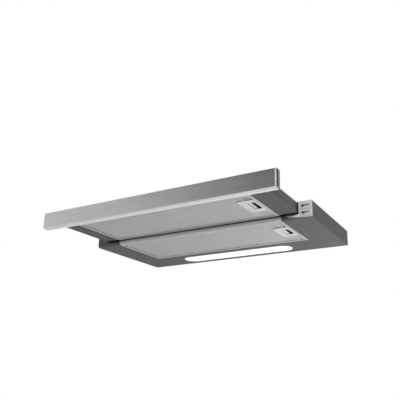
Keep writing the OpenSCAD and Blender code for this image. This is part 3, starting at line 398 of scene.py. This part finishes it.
FINISHES = {
    "brushed_steel_panel": brushed("brushed_front_steel", grey(0.72), 0.34, metal=1.0),
    "backing_silver": brushed("backing_silver", grey(0.66), 0.36, metal=0.6),
    "satin_frame_steel": sheet("satin_frame_steel", grey(0.35), 0.42, 20, 4, bump=0.04, metal=0.5),
    "filter_net": sheet("net_aluminium", grey(0.50), 0.45, 6, 3, metal=0.35),
    "filter_core_aluminium": sheet("core_aluminium", grey(0.55), 0.5, 4, 4, bump=0.1, metal=0.4),
    "zinc_sheet": sheet("galvanised_sheet", grey(0.50, -0.01), 0.45, 12, 12, metal=0.7),
    "drawer_sheet": sheet("tray_grey_paint", grey(0.055), 0.5, 10, 10, gloss=0.12),
    "top_sheet_zinc": sheet("top_sheet_zinc", grey(0.62), 0.35, 20, 20, bump=0.02, metal=0.8),
    "pan_silver_paint": sheet("pan_silver_paint", grey(0.055), 0.5, 20, 20, gloss=0.15),
    "steel_screws": sheet("bright_zinc", grey(0.60, -0.02), 0.3, 2, 2, bump=0.02, metal=1.0),
    "carriage_steel": sheet("carriage_zinc", grey(0.42), 0.4, 8, 8, bump=0.02, metal=0.8),
    "nylon_white": moulded("roller_nylon", grey(0.80, 0.01), 0.45, grain=1.0, bump=0.02),
    "lever_plastic": moulded("lever_pale_plastic", grey(0.36), 0.38),
    "bolt_plastic": moulded("bolt_dark_plastic", grey(0.03), 0.45),
    "white_plastic": moulded("driver_white_plastic", grey(0.8), 0.4, grain=1.5),
    "light_board": moulded("light_board_white", grey(0.82, 0.01), 0.35, grain=2.0, bump=0.02),
    "cap_grey_plastic": moulded("cap_grey_plastic", grey(0.12), 0.38),
    "control_plate_grey": moulded("control_plate_grey", grey(0.20), 0.4),
    "black_plastic": moulded("black_moulding", grey(0.03), 0.42, bump=0.04),
    "blower_plastic": moulded("blower_grey_plastic", grey(0.07), 0.45, grain=1.5, bump=0.04),
    "motor_metal": moulded("motor_casting", grey(0.45), 0.5, grain=2.0, bump=0.08, metal=0.9),
    "capacitor_case": moulded("capacitor_case_grey", grey(0.62), 0.4, grain=1.5, bump=0.02),
    "bush_rubber": moulded("bush_rubber", grey(0.02), 0.7, grain=1.0, bump=0.04),
    "button_red": moulded("button_red", (0.5, 0.05, 0.04), 0.4, grain=1.0, bump=0.02),
}
print("finishes:", len(FINISHES))

# %% [markdown]
# Some pieces get painted light and shade past a place along an axis, with a sharp step. A small group
# makes that step, and each material mixes its painted colour with it. The axis may lean, so that the
# painted colour stays on one face and leaves the next one alone.

# %% Group for a band of painted light and shade
STEP_LENGTH = 0.1 * MM

step_mask, entry, leave = new_group(
    "step_mask", [("Vector", VECTOR, None), ("Axis", VECTOR, None), ("Start", FLOAT, 0.0)], ["Mask"])
along = add_node(step_mask, "ShaderNodeVectorMath", operation="DOT_PRODUCT")
feed(step_mask, along, (entry.outputs["Vector"], entry.outputs["Axis"]))
beyond = math_node(step_mask, "SUBTRACT", along.outputs["Value"], entry.outputs["Start"])
step_mask.links.new(math_node(step_mask, "DIVIDE", beyond, STEP_LENGTH, clamp=True), leave.inputs["Mask"])


def paint_light_band(material, axis, start, colour):
    """Mix painted light or shade into a finish past a place along an axis of the object, and return its
    mask.
    """
    tree = material.node_tree
    shader = tree.nodes["Principled BSDF"]
    first = shader.inputs["Base Color"].links[0].from_socket
    place = add_node(tree, "ShaderNodeTexCoord")
    past = add_node(tree, "ShaderNodeGroup")
    past.node_tree = step_mask
    past.inputs["Axis"].default_value = axis
    past.inputs["Start"].default_value = start
    tree.links.new(place.outputs["Object"], past.inputs["Vector"])
    mixed = add_node(tree, "ShaderNodeMix", data_type="RGBA")
    mixed.inputs["B"].default_value = (*colour, 1.0)
    tree.links.new(past.outputs["Mask"], mixed.inputs["Factor"])
    tree.links.new(first, mixed.inputs["A"])
    tree.links.new(mixed.outputs["Result"], shader.inputs["Base Color"])
    return past.outputs["Mask"]


print("group:", step_mask.name)

# %% [markdown]
# The pocket behind the finger opening of a filter handle lies in deep shade, above the handle's thin
# plate, and is painted black as that shade. The tray is painted black from just in front of the body
# to its rear end, as painted shade of the gap there. The right end of the pan's front lip is painted
# paler than the rest of the pan, as a painted reflection. The right edge of the brushed front shows a
# light line, a painted highlight. It carries no metal, because bare steel would mirror the dark part
# of the room there. The block behind the switches is painted paler than the other mouldings, as
# painted light that lifts the shade in the slots of the switches.

# %% Painted light and shade, and own finishes
ALONG_Y = (0.0, 1.0, 0.0)
UPWARD = (0.0, 0.0, 1.0)
PLATE_SHARE = 0.1
PAINTED_SHADE_BLACK = grey(0.008)
PAINTED_SHADE_REACH = 8 * MM
LIP_AXIS = (1.0, -20.0, 0.0)
LIP_SHARE = 0.1
LIP_PAINTED_REFLECTION = grey(0.24)
EDGE_AXIS = (1.0, -3.0, 0.0)
EDGE_BAND = 3 * MM
EDGE_PAINTED_HIGHLIGHT = grey(0.17)

# The switch block is painted paler than the other mouldings: painted light against the shade in the switch
# slots.
own_finish = {"switch_block": moulded("switch_block_grey", grey(0.45), 0.5)}
for side_name in ("front", "rear"):
    low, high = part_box(f"{side_name}_filter_handle")
    plastic = moulded(f"{side_name}_handle_shaded_plastic", grey(0.34), 0.4)
    # Above a tenth of its height the handle is painted black: painted shade of the pocket behind the
    # finger opening.
    paint_light_band(plastic, UPWARD, low.z + (high.z - low.z) * PLATE_SHARE, PAINTED_SHADE_BLACK)
    own_finish[f"{side_name}_filter_handle"] = plastic

pan_low, pan_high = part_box("shell_pan")
# The tray is painted black from just in front of the body to its rear end: painted shade of the gap there.
paint_light_band(FINISHES["drawer_sheet"], ALONG_Y, pan_low.y - PAINTED_SHADE_REACH, PAINTED_SHADE_BLACK)
# The right end of the pan's front lip is painted paler: a painted reflection.
lip_start = pan_high.x - LIP_SHARE * (pan_high.x - pan_low.x) + LIP_AXIS[1] * pan_low.y
paint_light_band(FINISHES["pan_silver_paint"], LIP_AXIS, lip_start, LIP_PAINTED_REFLECTION)

panel_steel = FINISHES["brushed_steel_panel"]
skin_low, skin_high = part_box("front_panel")
# The right edge of the brushed front is painted light and without metal: a painted highlight.
edge_start = skin_high.x - EDGE_BAND + EDGE_AXIS[1] * skin_low.y
painted_highlight_mask = paint_light_band(panel_steel, EDGE_AXIS, edge_start, EDGE_PAINTED_HIGHLIGHT)
steel_share = math_node(panel_steel.node_tree, "SUBTRACT", 1.0, painted_highlight_mask)
panel_shader = panel_steel.node_tree.nodes["Principled BSDF"]
panel_steel.node_tree.links.new(steel_share, panel_shader.inputs["Metallic"])
print("own finishes:", sorted(own_finish))

# %% [markdown]
# The lens is an opal plastic that is lit from inside, so it shines a little by itself. Then every piece
# gets its finish: its own one where it has one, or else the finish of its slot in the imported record.

# %% Opal lens and painting
OPAL_LIGHT = (1.0, 1.0, 0.985, 1.0)
OPAL_STRENGTH = 0.72

opal_lens = moulded("opal_lens", grey(0.22), 0.35, grain=2.0, bump=0.01)
opal_shader = opal_lens.node_tree.nodes["Principled BSDF"]
opal_shader.inputs["Emission Color"].default_value = OPAL_LIGHT
opal_shader.inputs["Emission Strength"].default_value = OPAL_STRENGTH
FINISHES["opal_lens"] = opal_lens


def paint(piece, material):
    """Put one material on every slot of a piece."""
    if not piece.material_slots:
        piece.data.materials.append(material)
    for slot in piece.material_slots:
        slot.material = material


slot_of = {subpart["node"]: subpart["material_slot"] for subpart in frame["record"]["subparts"]}
for name, piece in nodes.items():
    paint(piece, own_finish[name] if name in own_finish else FINISHES[slot_of[name]])
print("painted:", len(nodes))

# %% [markdown]
# The grease filter is a cassette with several layers of expanded metal: slit sheet, pulled until the
# slits open to diamonds. Each strand runs in a zigzag and touches the next one at its bends. So one
# strand is a resampled line whose points step to the left and right, and Geometry Nodes repeat it, every
# second one mirrored. Copies follow the line of rows, so a change of pitch keeps the strands in touch.

# %% Tree for expanded metal
MATERIAL = "NodeSocketMaterial"
GEOMETRY = "NodeSocketGeometry"


def new_tree(name, inputs):
    """An empty geometry tree with named inputs, and its entry and exit nodes."""
    tree = bpy.data.node_groups.new(name, "GeometryNodeTree")
    tree.interface.new_socket(name="Geometry", in_out="INPUT", socket_type=GEOMETRY)
    for label, kind in inputs:
        tree.interface.new_socket(name=label, in_out="INPUT", socket_type=kind)
    tree.interface.new_socket(name="Geometry", in_out="OUTPUT", socket_type=GEOMETRY)
    return tree, tree.nodes.new("NodeGroupInput"), tree.nodes.new("NodeGroupOutput")


def by_turns(tree, number, even, odd):
    """One value for an even number and another for an odd one."""
    is_odd = math_node(tree, "MODULO", number, 2.0)
    return math_node(tree, "MULTIPLY_ADD", is_odd, odd - even, even)


def close_tree(tree, geometry, material_socket, leave):
    """Realize the copies and give them their material, which ends each tree."""
    realize = add_node(tree, "GeometryNodeRealizeInstances")
    dressed = add_node(tree, "GeometryNodeSetMaterial")
    tree.links.new(geometry, realize.inputs["Geometry"])
    tree.links.new(realize.outputs["Geometry"], dressed.inputs["Geometry"])
    tree.links.new(material_socket, dressed.inputs["Material"])
    tree.links.new(dressed.outputs["Geometry"], leave.inputs["Geometry"])


net_tree, entry, leave = new_tree("expanded_metal", [
    ("Corner", VECTOR), ("Length", FLOAT), ("Diamond Length", FLOAT), ("Diamond Width", FLOAT),
    ("Strand Width", FLOAT), ("Thickness", FLOAT), ("First Row", FLOAT), ("Row Count", FLOAT),
    ("Material", MATERIAL),
])
step = math_node(net_tree, "DIVIDE", entry.outputs["Diamond Length"], 2.0)
swing = math_node(net_tree, "DIVIDE", entry.outputs["Diamond Width"], 4.0)
row_step = math_node(net_tree, "DIVIDE", entry.outputs["Diamond Width"], 2.0)
step_count = math_node(net_tree, "ROUND", math_node(net_tree, "DIVIDE", entry.outputs["Length"], step))

line = add_node(net_tree, "GeometryNodeCurvePrimitiveLine")
net_tree.links.new(vector_node(net_tree, entry.outputs["Length"], 0.0, 0.0), line.inputs["End"])
bends = add_node(net_tree, "GeometryNodeResampleCurve")
net_tree.links.new(line.outputs[0], bends.inputs["Curve"])
net_tree.links.new(math_node(net_tree, "ADD", step_count, 1.0), bends.inputs["Count"])
bend_number = add_node(net_tree, "GeometryNodeInputIndex")
side = by_turns(net_tree, bend_number.outputs[0], even=-1.0, odd=1.0)
sidestep = vector_node(net_tree, 0.0, math_node(net_tree, "MULTIPLY", side, swing), 0.0)
zigzag = add_node(net_tree, "GeometryNodeSetPosition")
net_tree.links.new(bends.outputs[0], zigzag.inputs["Geometry"])
net_tree.links.new(sidestep, zigzag.inputs["Offset"])

section = add_node(net_tree, "GeometryNodeCurvePrimitiveQuadrilateral")
net_tree.links.new(entry.outputs["Strand Width"], section.inputs["Width"])
net_tree.links.new(entry.outputs["Thickness"], section.inputs["Height"])
strand = add_node(net_tree, "GeometryNodeCurveToMesh")
strand.inputs["Fill Caps"].default_value = True
net_tree.links.new(zigzag.outputs[0], strand.inputs["Curve"])
net_tree.links.new(section.outputs[0], strand.inputs["Profile Curve"])

rows = add_node(net_tree, "GeometryNodeMeshLine", mode="OFFSET")
net_tree.links.new(entry.outputs["Row Count"], rows.inputs["Count"])
net_tree.links.new(vector_node(net_tree, 0.0, row_step, 0.0), rows.inputs["Offset"])
net_tree.links.new(entry.outputs["Corner"], rows.inputs["Start Location"])
row_index = add_node(net_tree, "GeometryNodeInputIndex")
row_number = math_node(net_tree, "ADD", row_index.outputs[0], entry.outputs["First Row"])
flip = by_turns(net_tree, row_number, even=1.0, odd=-1.0)
copies = add_node(net_tree, "GeometryNodeInstanceOnPoints")
net_tree.links.new(rows.outputs[0], copies.inputs["Points"])
net_tree.links.new(strand.outputs[0], copies.inputs["Instance"])
net_tree.links.new(vector_node(net_tree, 1.0, flip, 1.0), copies.inputs["Scale"])
close_tree(net_tree, copies.outputs[0], entry.outputs["Material"], leave)
print("tree:", net_tree.name)

# %% [markdown]
# A tree gives its result on an empty object. The evaluated mesh is copied to a plain mesh, which stays
# when the modifier goes with its carrier. The mirrored strands are inside out after the negative scale,
# so the normals are worked out again.

# %% Grow a plain mesh from a tree


def grown_mesh(tree, values, points=()):
    """The mesh that a geometry tree makes from named input values, and from points if it wants them."""
    start = bpy.data.meshes.new("carrier")
    start.from_pydata(points, [], [])
    carrier = bpy.data.objects.new("carrier", start)
    scene.collection.objects.link(carrier)
    modifier = carrier.modifiers.new("grow", "NODES")
    modifier.node_group = tree
    for item in tree.interface.items_tree:
        if item.in_out == "INPUT" and item.name in values:
            modifier[item.identifier] = values[item.name]
    bpy.context.view_layer.update()
    depsgraph = bpy.context.evaluated_depsgraph_get()
    mesh = bpy.data.meshes.new_from_object(carrier.evaluated_get(depsgraph))
    carrier.modifiers.remove(modifier)
    bpy.data.objects.remove(carrier)
    return mesh


def joined_piece(name, meshes, material, body):
    """One object from several meshes, with outward normals, on its body."""
    work = bmesh.new()
    for mesh in meshes:
        work.from_mesh(mesh)
    bmesh.ops.recalc_face_normals(work, faces=work.faces)
    data = bpy.data.meshes.new(name)
    work.to_mesh(data)
    work.free()
    data.materials.clear()
    data.materials.append(material)
    piece = bpy.data.objects.new(name, data)
    scene.collection.objects.link(piece)
    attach(piece, body)
    print(name, "faces:", len(data.polygons))
    return piece


# %% [markdown]
# Each filter gets a fine outer net under its frame and a coarser one on the far side. All strands of a
# net lie on one grid of rows. Beside the catch they end at its pocket, so the rows are laid in three
# groups: before, beside and behind the pocket.

# %% Filter nets
NET_LAP = 4 * MM
POCKET_GAP = 0.5 * MM
NET_THICKNESS = 0.5 * MM
OUTER_NET = {"Diamond Length": 8 * MM, "Diamond Width": 5 * MM, "Strand Width": 1.1 * MM}
INNER_NET = {"Diamond Length": 16 * MM, "Diamond Width": 10 * MM, "Strand Width": 2.0 * MM}


def net_rows(mesh_box, pocket_box, sizes, level, material):
    """Meshes of one net at a height, in three groups of rows."""
    start = mesh_box[0] + Vector((NET_LAP, NET_LAP, 0))
    end = mesh_box[1] - Vector((NET_LAP, NET_LAP, 0))
    row_step = sizes["Diamond Width"] / 2
    reach = row_step / 2 + sizes["Strand Width"] / 2
    first_y = start.y + reach
    total = int((end.y - reach - first_y) / row_step) + 1
    before = int((pocket_box[0].y - POCKET_GAP - reach - first_y) / row_step) + 1
    behind = math.ceil((pocket_box[1].y + POCKET_GAP + reach - first_y) / row_step)
    groups = [
        (0, before, end.x),
        (before, behind, pocket_box[0].x - POCKET_GAP),
        (behind, total, end.x),
    ]
    meshes = []
    for first, last, end_x in groups:
        values = {
            **sizes,
            "Thickness": NET_THICKNESS,
            "Corner": Vector((start.x, first_y + first * row_step, level)),
            "Length": end_x - start.x,
            "First Row": float(first),
            "Row Count": float(last - first),
            "Material": material,
        }
        meshes.append(grown_mesh(net_tree, values))
    return meshes


net_metal = FINISHES["filter_net"]
for side_name in ("front", "rear"):
    mesh_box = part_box(f"{side_name}_filter_mesh")
    handle_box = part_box(f"{side_name}_filter_handle")
    lower_level = mesh_box[0].z + NET_THICKNESS / 2
    upper_level = mesh_box[1].z - NET_THICKNESS / 2
    meshes = net_rows(mesh_box, handle_box, OUTER_NET, lower_level, net_metal)
    meshes += net_rows(mesh_box, handle_box, INNER_NET, upper_level, net_metal)
    body = f"{side_name}_filter"
    net = joined_piece(f"{side_name}_expanded_net", meshes, net_metal, body)
    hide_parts(f"{side_name}_filter_mesh")

# %% [markdown]
# The opening of each filter frame is hemmed: the edge of the sheet is folded to a small round bead,
# which catches the light as a thin line. A tree sweeps a circle along a rectangle. The rear frame has a
# rolled front edge, so its opening starts further back.

# %% Hems of the filter frames
FRAME_RIM = 7 * MM
HOOK_LENGTH = 7 * MM
ROLLED_EDGE_EXTRA = 3.5 * MM
BEAD_RADIUS = 0.45 * MM
BEAD_SIDES = 12

hem_tree, entry, leave = new_tree("hem", [
    ("Middle", VECTOR), ("Width", FLOAT), ("Depth", FLOAT), ("Bead Radius", FLOAT),
    ("Material", MATERIAL),
])
outline = add_node(hem_tree, "GeometryNodeCurvePrimitiveQuadrilateral")
hem_tree.links.new(entry.outputs["Width"], outline.inputs["Width"])
hem_tree.links.new(entry.outputs["Depth"], outline.inputs["Height"])
bead = add_node(hem_tree, "GeometryNodeCurvePrimitiveCircle")
bead.inputs["Resolution"].default_value = BEAD_SIDES
hem_tree.links.new(entry.outputs["Bead Radius"], bead.inputs["Radius"])
swept = add_node(hem_tree, "GeometryNodeCurveToMesh")
hem_tree.links.new(outline.outputs[0], swept.inputs["Curve"])
hem_tree.links.new(bead.outputs[0], swept.inputs["Profile Curve"])
placed = add_node(hem_tree, "GeometryNodeTransform")
hem_tree.links.new(swept.outputs[0], placed.inputs["Geometry"])
hem_tree.links.new(entry.outputs["Middle"], placed.inputs["Translation"])
close_tree(hem_tree, placed.outputs[0], entry.outputs["Material"], leave)

hem_steel = sheet("hem_shaded_steel", grey(0.12), 0.4, 20, 4, bump=0.02, metal=0.3)
for side_name, extra in (("front", 0.0), ("rear", ROLLED_EDGE_EXTRA)):
    frame_low, frame_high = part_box(f"{side_name}_filter_frame")
    opening_low = Vector((frame_low.x + HOOK_LENGTH + FRAME_RIM, frame_low.y + FRAME_RIM + extra, 0))
    opening_high = Vector((frame_high.x - FRAME_RIM, frame_high.y - FRAME_RIM, 0))
    middle = (opening_low + opening_high) / 2
    middle.z = frame_low.z + BEAD_RADIUS
    hem_mesh = grown_mesh(hem_tree, {
        "Middle": middle,
        "Width": opening_high.x - opening_low.x,
        "Depth": opening_high.y - opening_low.y,
        "Bead Radius": BEAD_RADIUS,
        "Material": hem_steel,
    })
    body = f"{side_name}_filter"
    joined_piece(f"{side_name}_frame_hem", [hem_mesh], hem_steel, body)

# %% [markdown]
# The screws of the motor housing and of the lens have cross recesses. A tree makes one screw, a tapered
# head with two crossed bars cut out of it and a plain shank, and sets it on every point that it is given.
# A bar is as high as the head, so its middle lies half that height above the floor of the recess.

# %% Tree for cross head screws
HEAD_SIDES = 32
SHANK_SIDES = 20
TOP_SHARE = 0.78
RECESS_LENGTH_SHARE = 1.1
RECESS_WIDTH_SHARE = 0.24
RECESS_FLOOR_SHARE = 0.4

screw_tree, entry, leave = new_tree("cross_head_screw", [
    ("Turn", VECTOR), ("Head Radius", FLOAT), ("Head Height", FLOAT), ("Shank Radius", FLOAT),
    ("Shank Length", FLOAT), ("Material", MATERIAL),
])
head_radius, head_height = entry.outputs["Head Radius"], entry.outputs["Head Height"]
head = add_node(screw_tree, "GeometryNodeMeshCone")
head.inputs["Vertices"].default_value = HEAD_SIDES
screw_tree.links.new(math_node(screw_tree, "MULTIPLY", head_radius, TOP_SHARE), head.inputs["Radius Top"])
screw_tree.links.new(head_radius, head.inputs["Radius Bottom"])
screw_tree.links.new(head_height, head.inputs["Depth"])

recess_long = math_node(screw_tree, "MULTIPLY", head_radius, RECESS_LENGTH_SHARE)
recess_wide = math_node(screw_tree, "MULTIPLY", head_radius, RECESS_WIDTH_SHARE)
recess_rise = math_node(screw_tree, "MULTIPLY", head_height, RECESS_FLOOR_SHARE + 1 / 2)
cut_head = add_node(screw_tree, "GeometryNodeMeshBoolean", operation="DIFFERENCE")
screw_tree.links.new(head.outputs["Mesh"], cut_head.inputs["Mesh 1"])
for long_side, short_side in ((recess_long, recess_wide), (recess_wide, recess_long)):
    bar = add_node(screw_tree, "GeometryNodeMeshCube")
    screw_tree.links.new(vector_node(screw_tree, long_side, short_side, head_height), bar.inputs["Size"])
    lifted = add_node(screw_tree, "GeometryNodeTransform")
    screw_tree.links.new(bar.outputs["Mesh"], lifted.inputs["Geometry"])
    screw_tree.links.new(vector_node(screw_tree, 0.0, 0.0, recess_rise), lifted.inputs["Translation"])
    screw_tree.links.new(lifted.outputs["Geometry"], cut_head.inputs["Mesh 2"])

shank = add_node(screw_tree, "GeometryNodeMeshCylinder")
shank.inputs["Vertices"].default_value = SHANK_SIDES
screw_tree.links.new(entry.outputs["Shank Radius"], shank.inputs["Radius"])
screw_tree.links.new(entry.outputs["Shank Length"], shank.inputs["Depth"])
shank_drop = math_node(screw_tree, "MULTIPLY", entry.outputs["Shank Length"], -0.5)
lowered = add_node(screw_tree, "GeometryNodeTransform")
screw_tree.links.new(shank.outputs["Mesh"], lowered.inputs["Geometry"])
screw_tree.links.new(vector_node(screw_tree, 0.0, 0.0, shank_drop), lowered.inputs["Translation"])

whole = add_node(screw_tree, "GeometryNodeJoinGeometry")
screw_tree.links.new(cut_head.outputs["Mesh"], whole.inputs["Geometry"])
screw_tree.links.new(lowered.outputs["Geometry"], whole.inputs["Geometry"])
screws = add_node(screw_tree, "GeometryNodeInstanceOnPoints")
screw_tree.links.new(entry.outputs["Geometry"], screws.inputs["Points"])
screw_tree.links.new(whole.outputs["Geometry"], screws.inputs["Instance"])
screw_tree.links.new(entry.outputs["Turn"], screws.inputs["Rotation"])
close_tree(screw_tree, screws.outputs[0], entry.outputs["Material"], leave)
print("tree:", screw_tree.name)

# %% [markdown]
# The solid screws of the model are plain steps. Each loose solid tells where its screw sits and how
# large it is, and these sizes go into the tree. A corner is shared only after the doubled ones are
# merged, so that comes first. The finer screws then stand in for the solid ones.

# %% Read the solid screws and set the finer ones
MERGE_DISTANCE = 0.001 * MM
LEVEL_TOLERANCE = 0.01 * MM
RADIUS_TOLERANCE = 0.05 * MM


def loose_solids(piece):
    """The corners of each loose solid of a piece, as lists of vectors."""
    work = bmesh.new()
    work.from_mesh(piece.data)
    work.transform(piece.matrix_world)
    bmesh.ops.remove_doubles(work, verts=work.verts, dist=MERGE_DISTANCE)
    waiting = set(work.verts)
    solids = []
    while waiting:
        front = [waiting.pop()]
        solid = []
        while front:
            corner = front.pop()
            solid.append(corner.co.copy())
            for edge in corner.link_edges:
                other = edge.other_vert(corner)
                if other in waiting:
                    waiting.remove(other)
                    front.append(other)
        solids.append(solid)
    work.free()
    return solids


def screw_of(solid):
    """The place and sizes of an upright screw: the point under its head, and the values for its tree."""
    middle_x = (min(c.x for c in solid) + max(c.x for c in solid)) / 2
    middle_y = (min(c.y for c in solid) + max(c.y for c in solid)) / 2

    def radius(corner):
        return math.hypot(corner.x - middle_x, corner.y - middle_y)

    def radius_at(level):
        return max(radius(c) for c in solid if abs(c.z - level) < LEVEL_TOLERANCE)

    low = min(c.z for c in solid)
    high = max(c.z for c in solid)
    faces_down = radius_at(low) > radius_at(high)
    head_end, shank_end = (low, high) if faces_down else (high, low)
    head_rim = radius_at(head_end)
    rim_levels = [c.z for c in solid if radius(c) > head_rim - RADIUS_TOLERANCE]
    seat_levels = [level for level in rim_levels if abs(level - head_end) > LEVEL_TOLERANCE]
    seat = min(seat_levels, key=lambda level: abs(level - head_end))
    values = {
        "Turn": Vector((math.pi if faces_down else 0.0, 0.0, 0.0)),
        "Head Radius": head_rim,
        "Head Height": abs(head_end - seat),
        "Shank Radius": radius_at(shank_end),
        "Shank Length": abs(seat - shank_end),
    }
    return Vector((middle_x, middle_y, seat)), values


dark_screw = sheet("blackened_screw", grey(0.05), 0.4, 2, 2, bump=0.02, metal=0.5)
for name, metal in (("housing_screws", FINISHES["steel_screws"]), ("diffuser_screws", dark_screw)):
    meshes = []
    for solid in loose_solids(nodes[name]):
        place, values = screw_of(solid)
        values["Material"] = metal
        meshes.append(grown_mesh(screw_tree, values, [place]))
    finer_name = name.replace("screws", "cross_screws")
    piece = joined_piece(finer_name, meshes, metal, "hood_body")
    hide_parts(name)
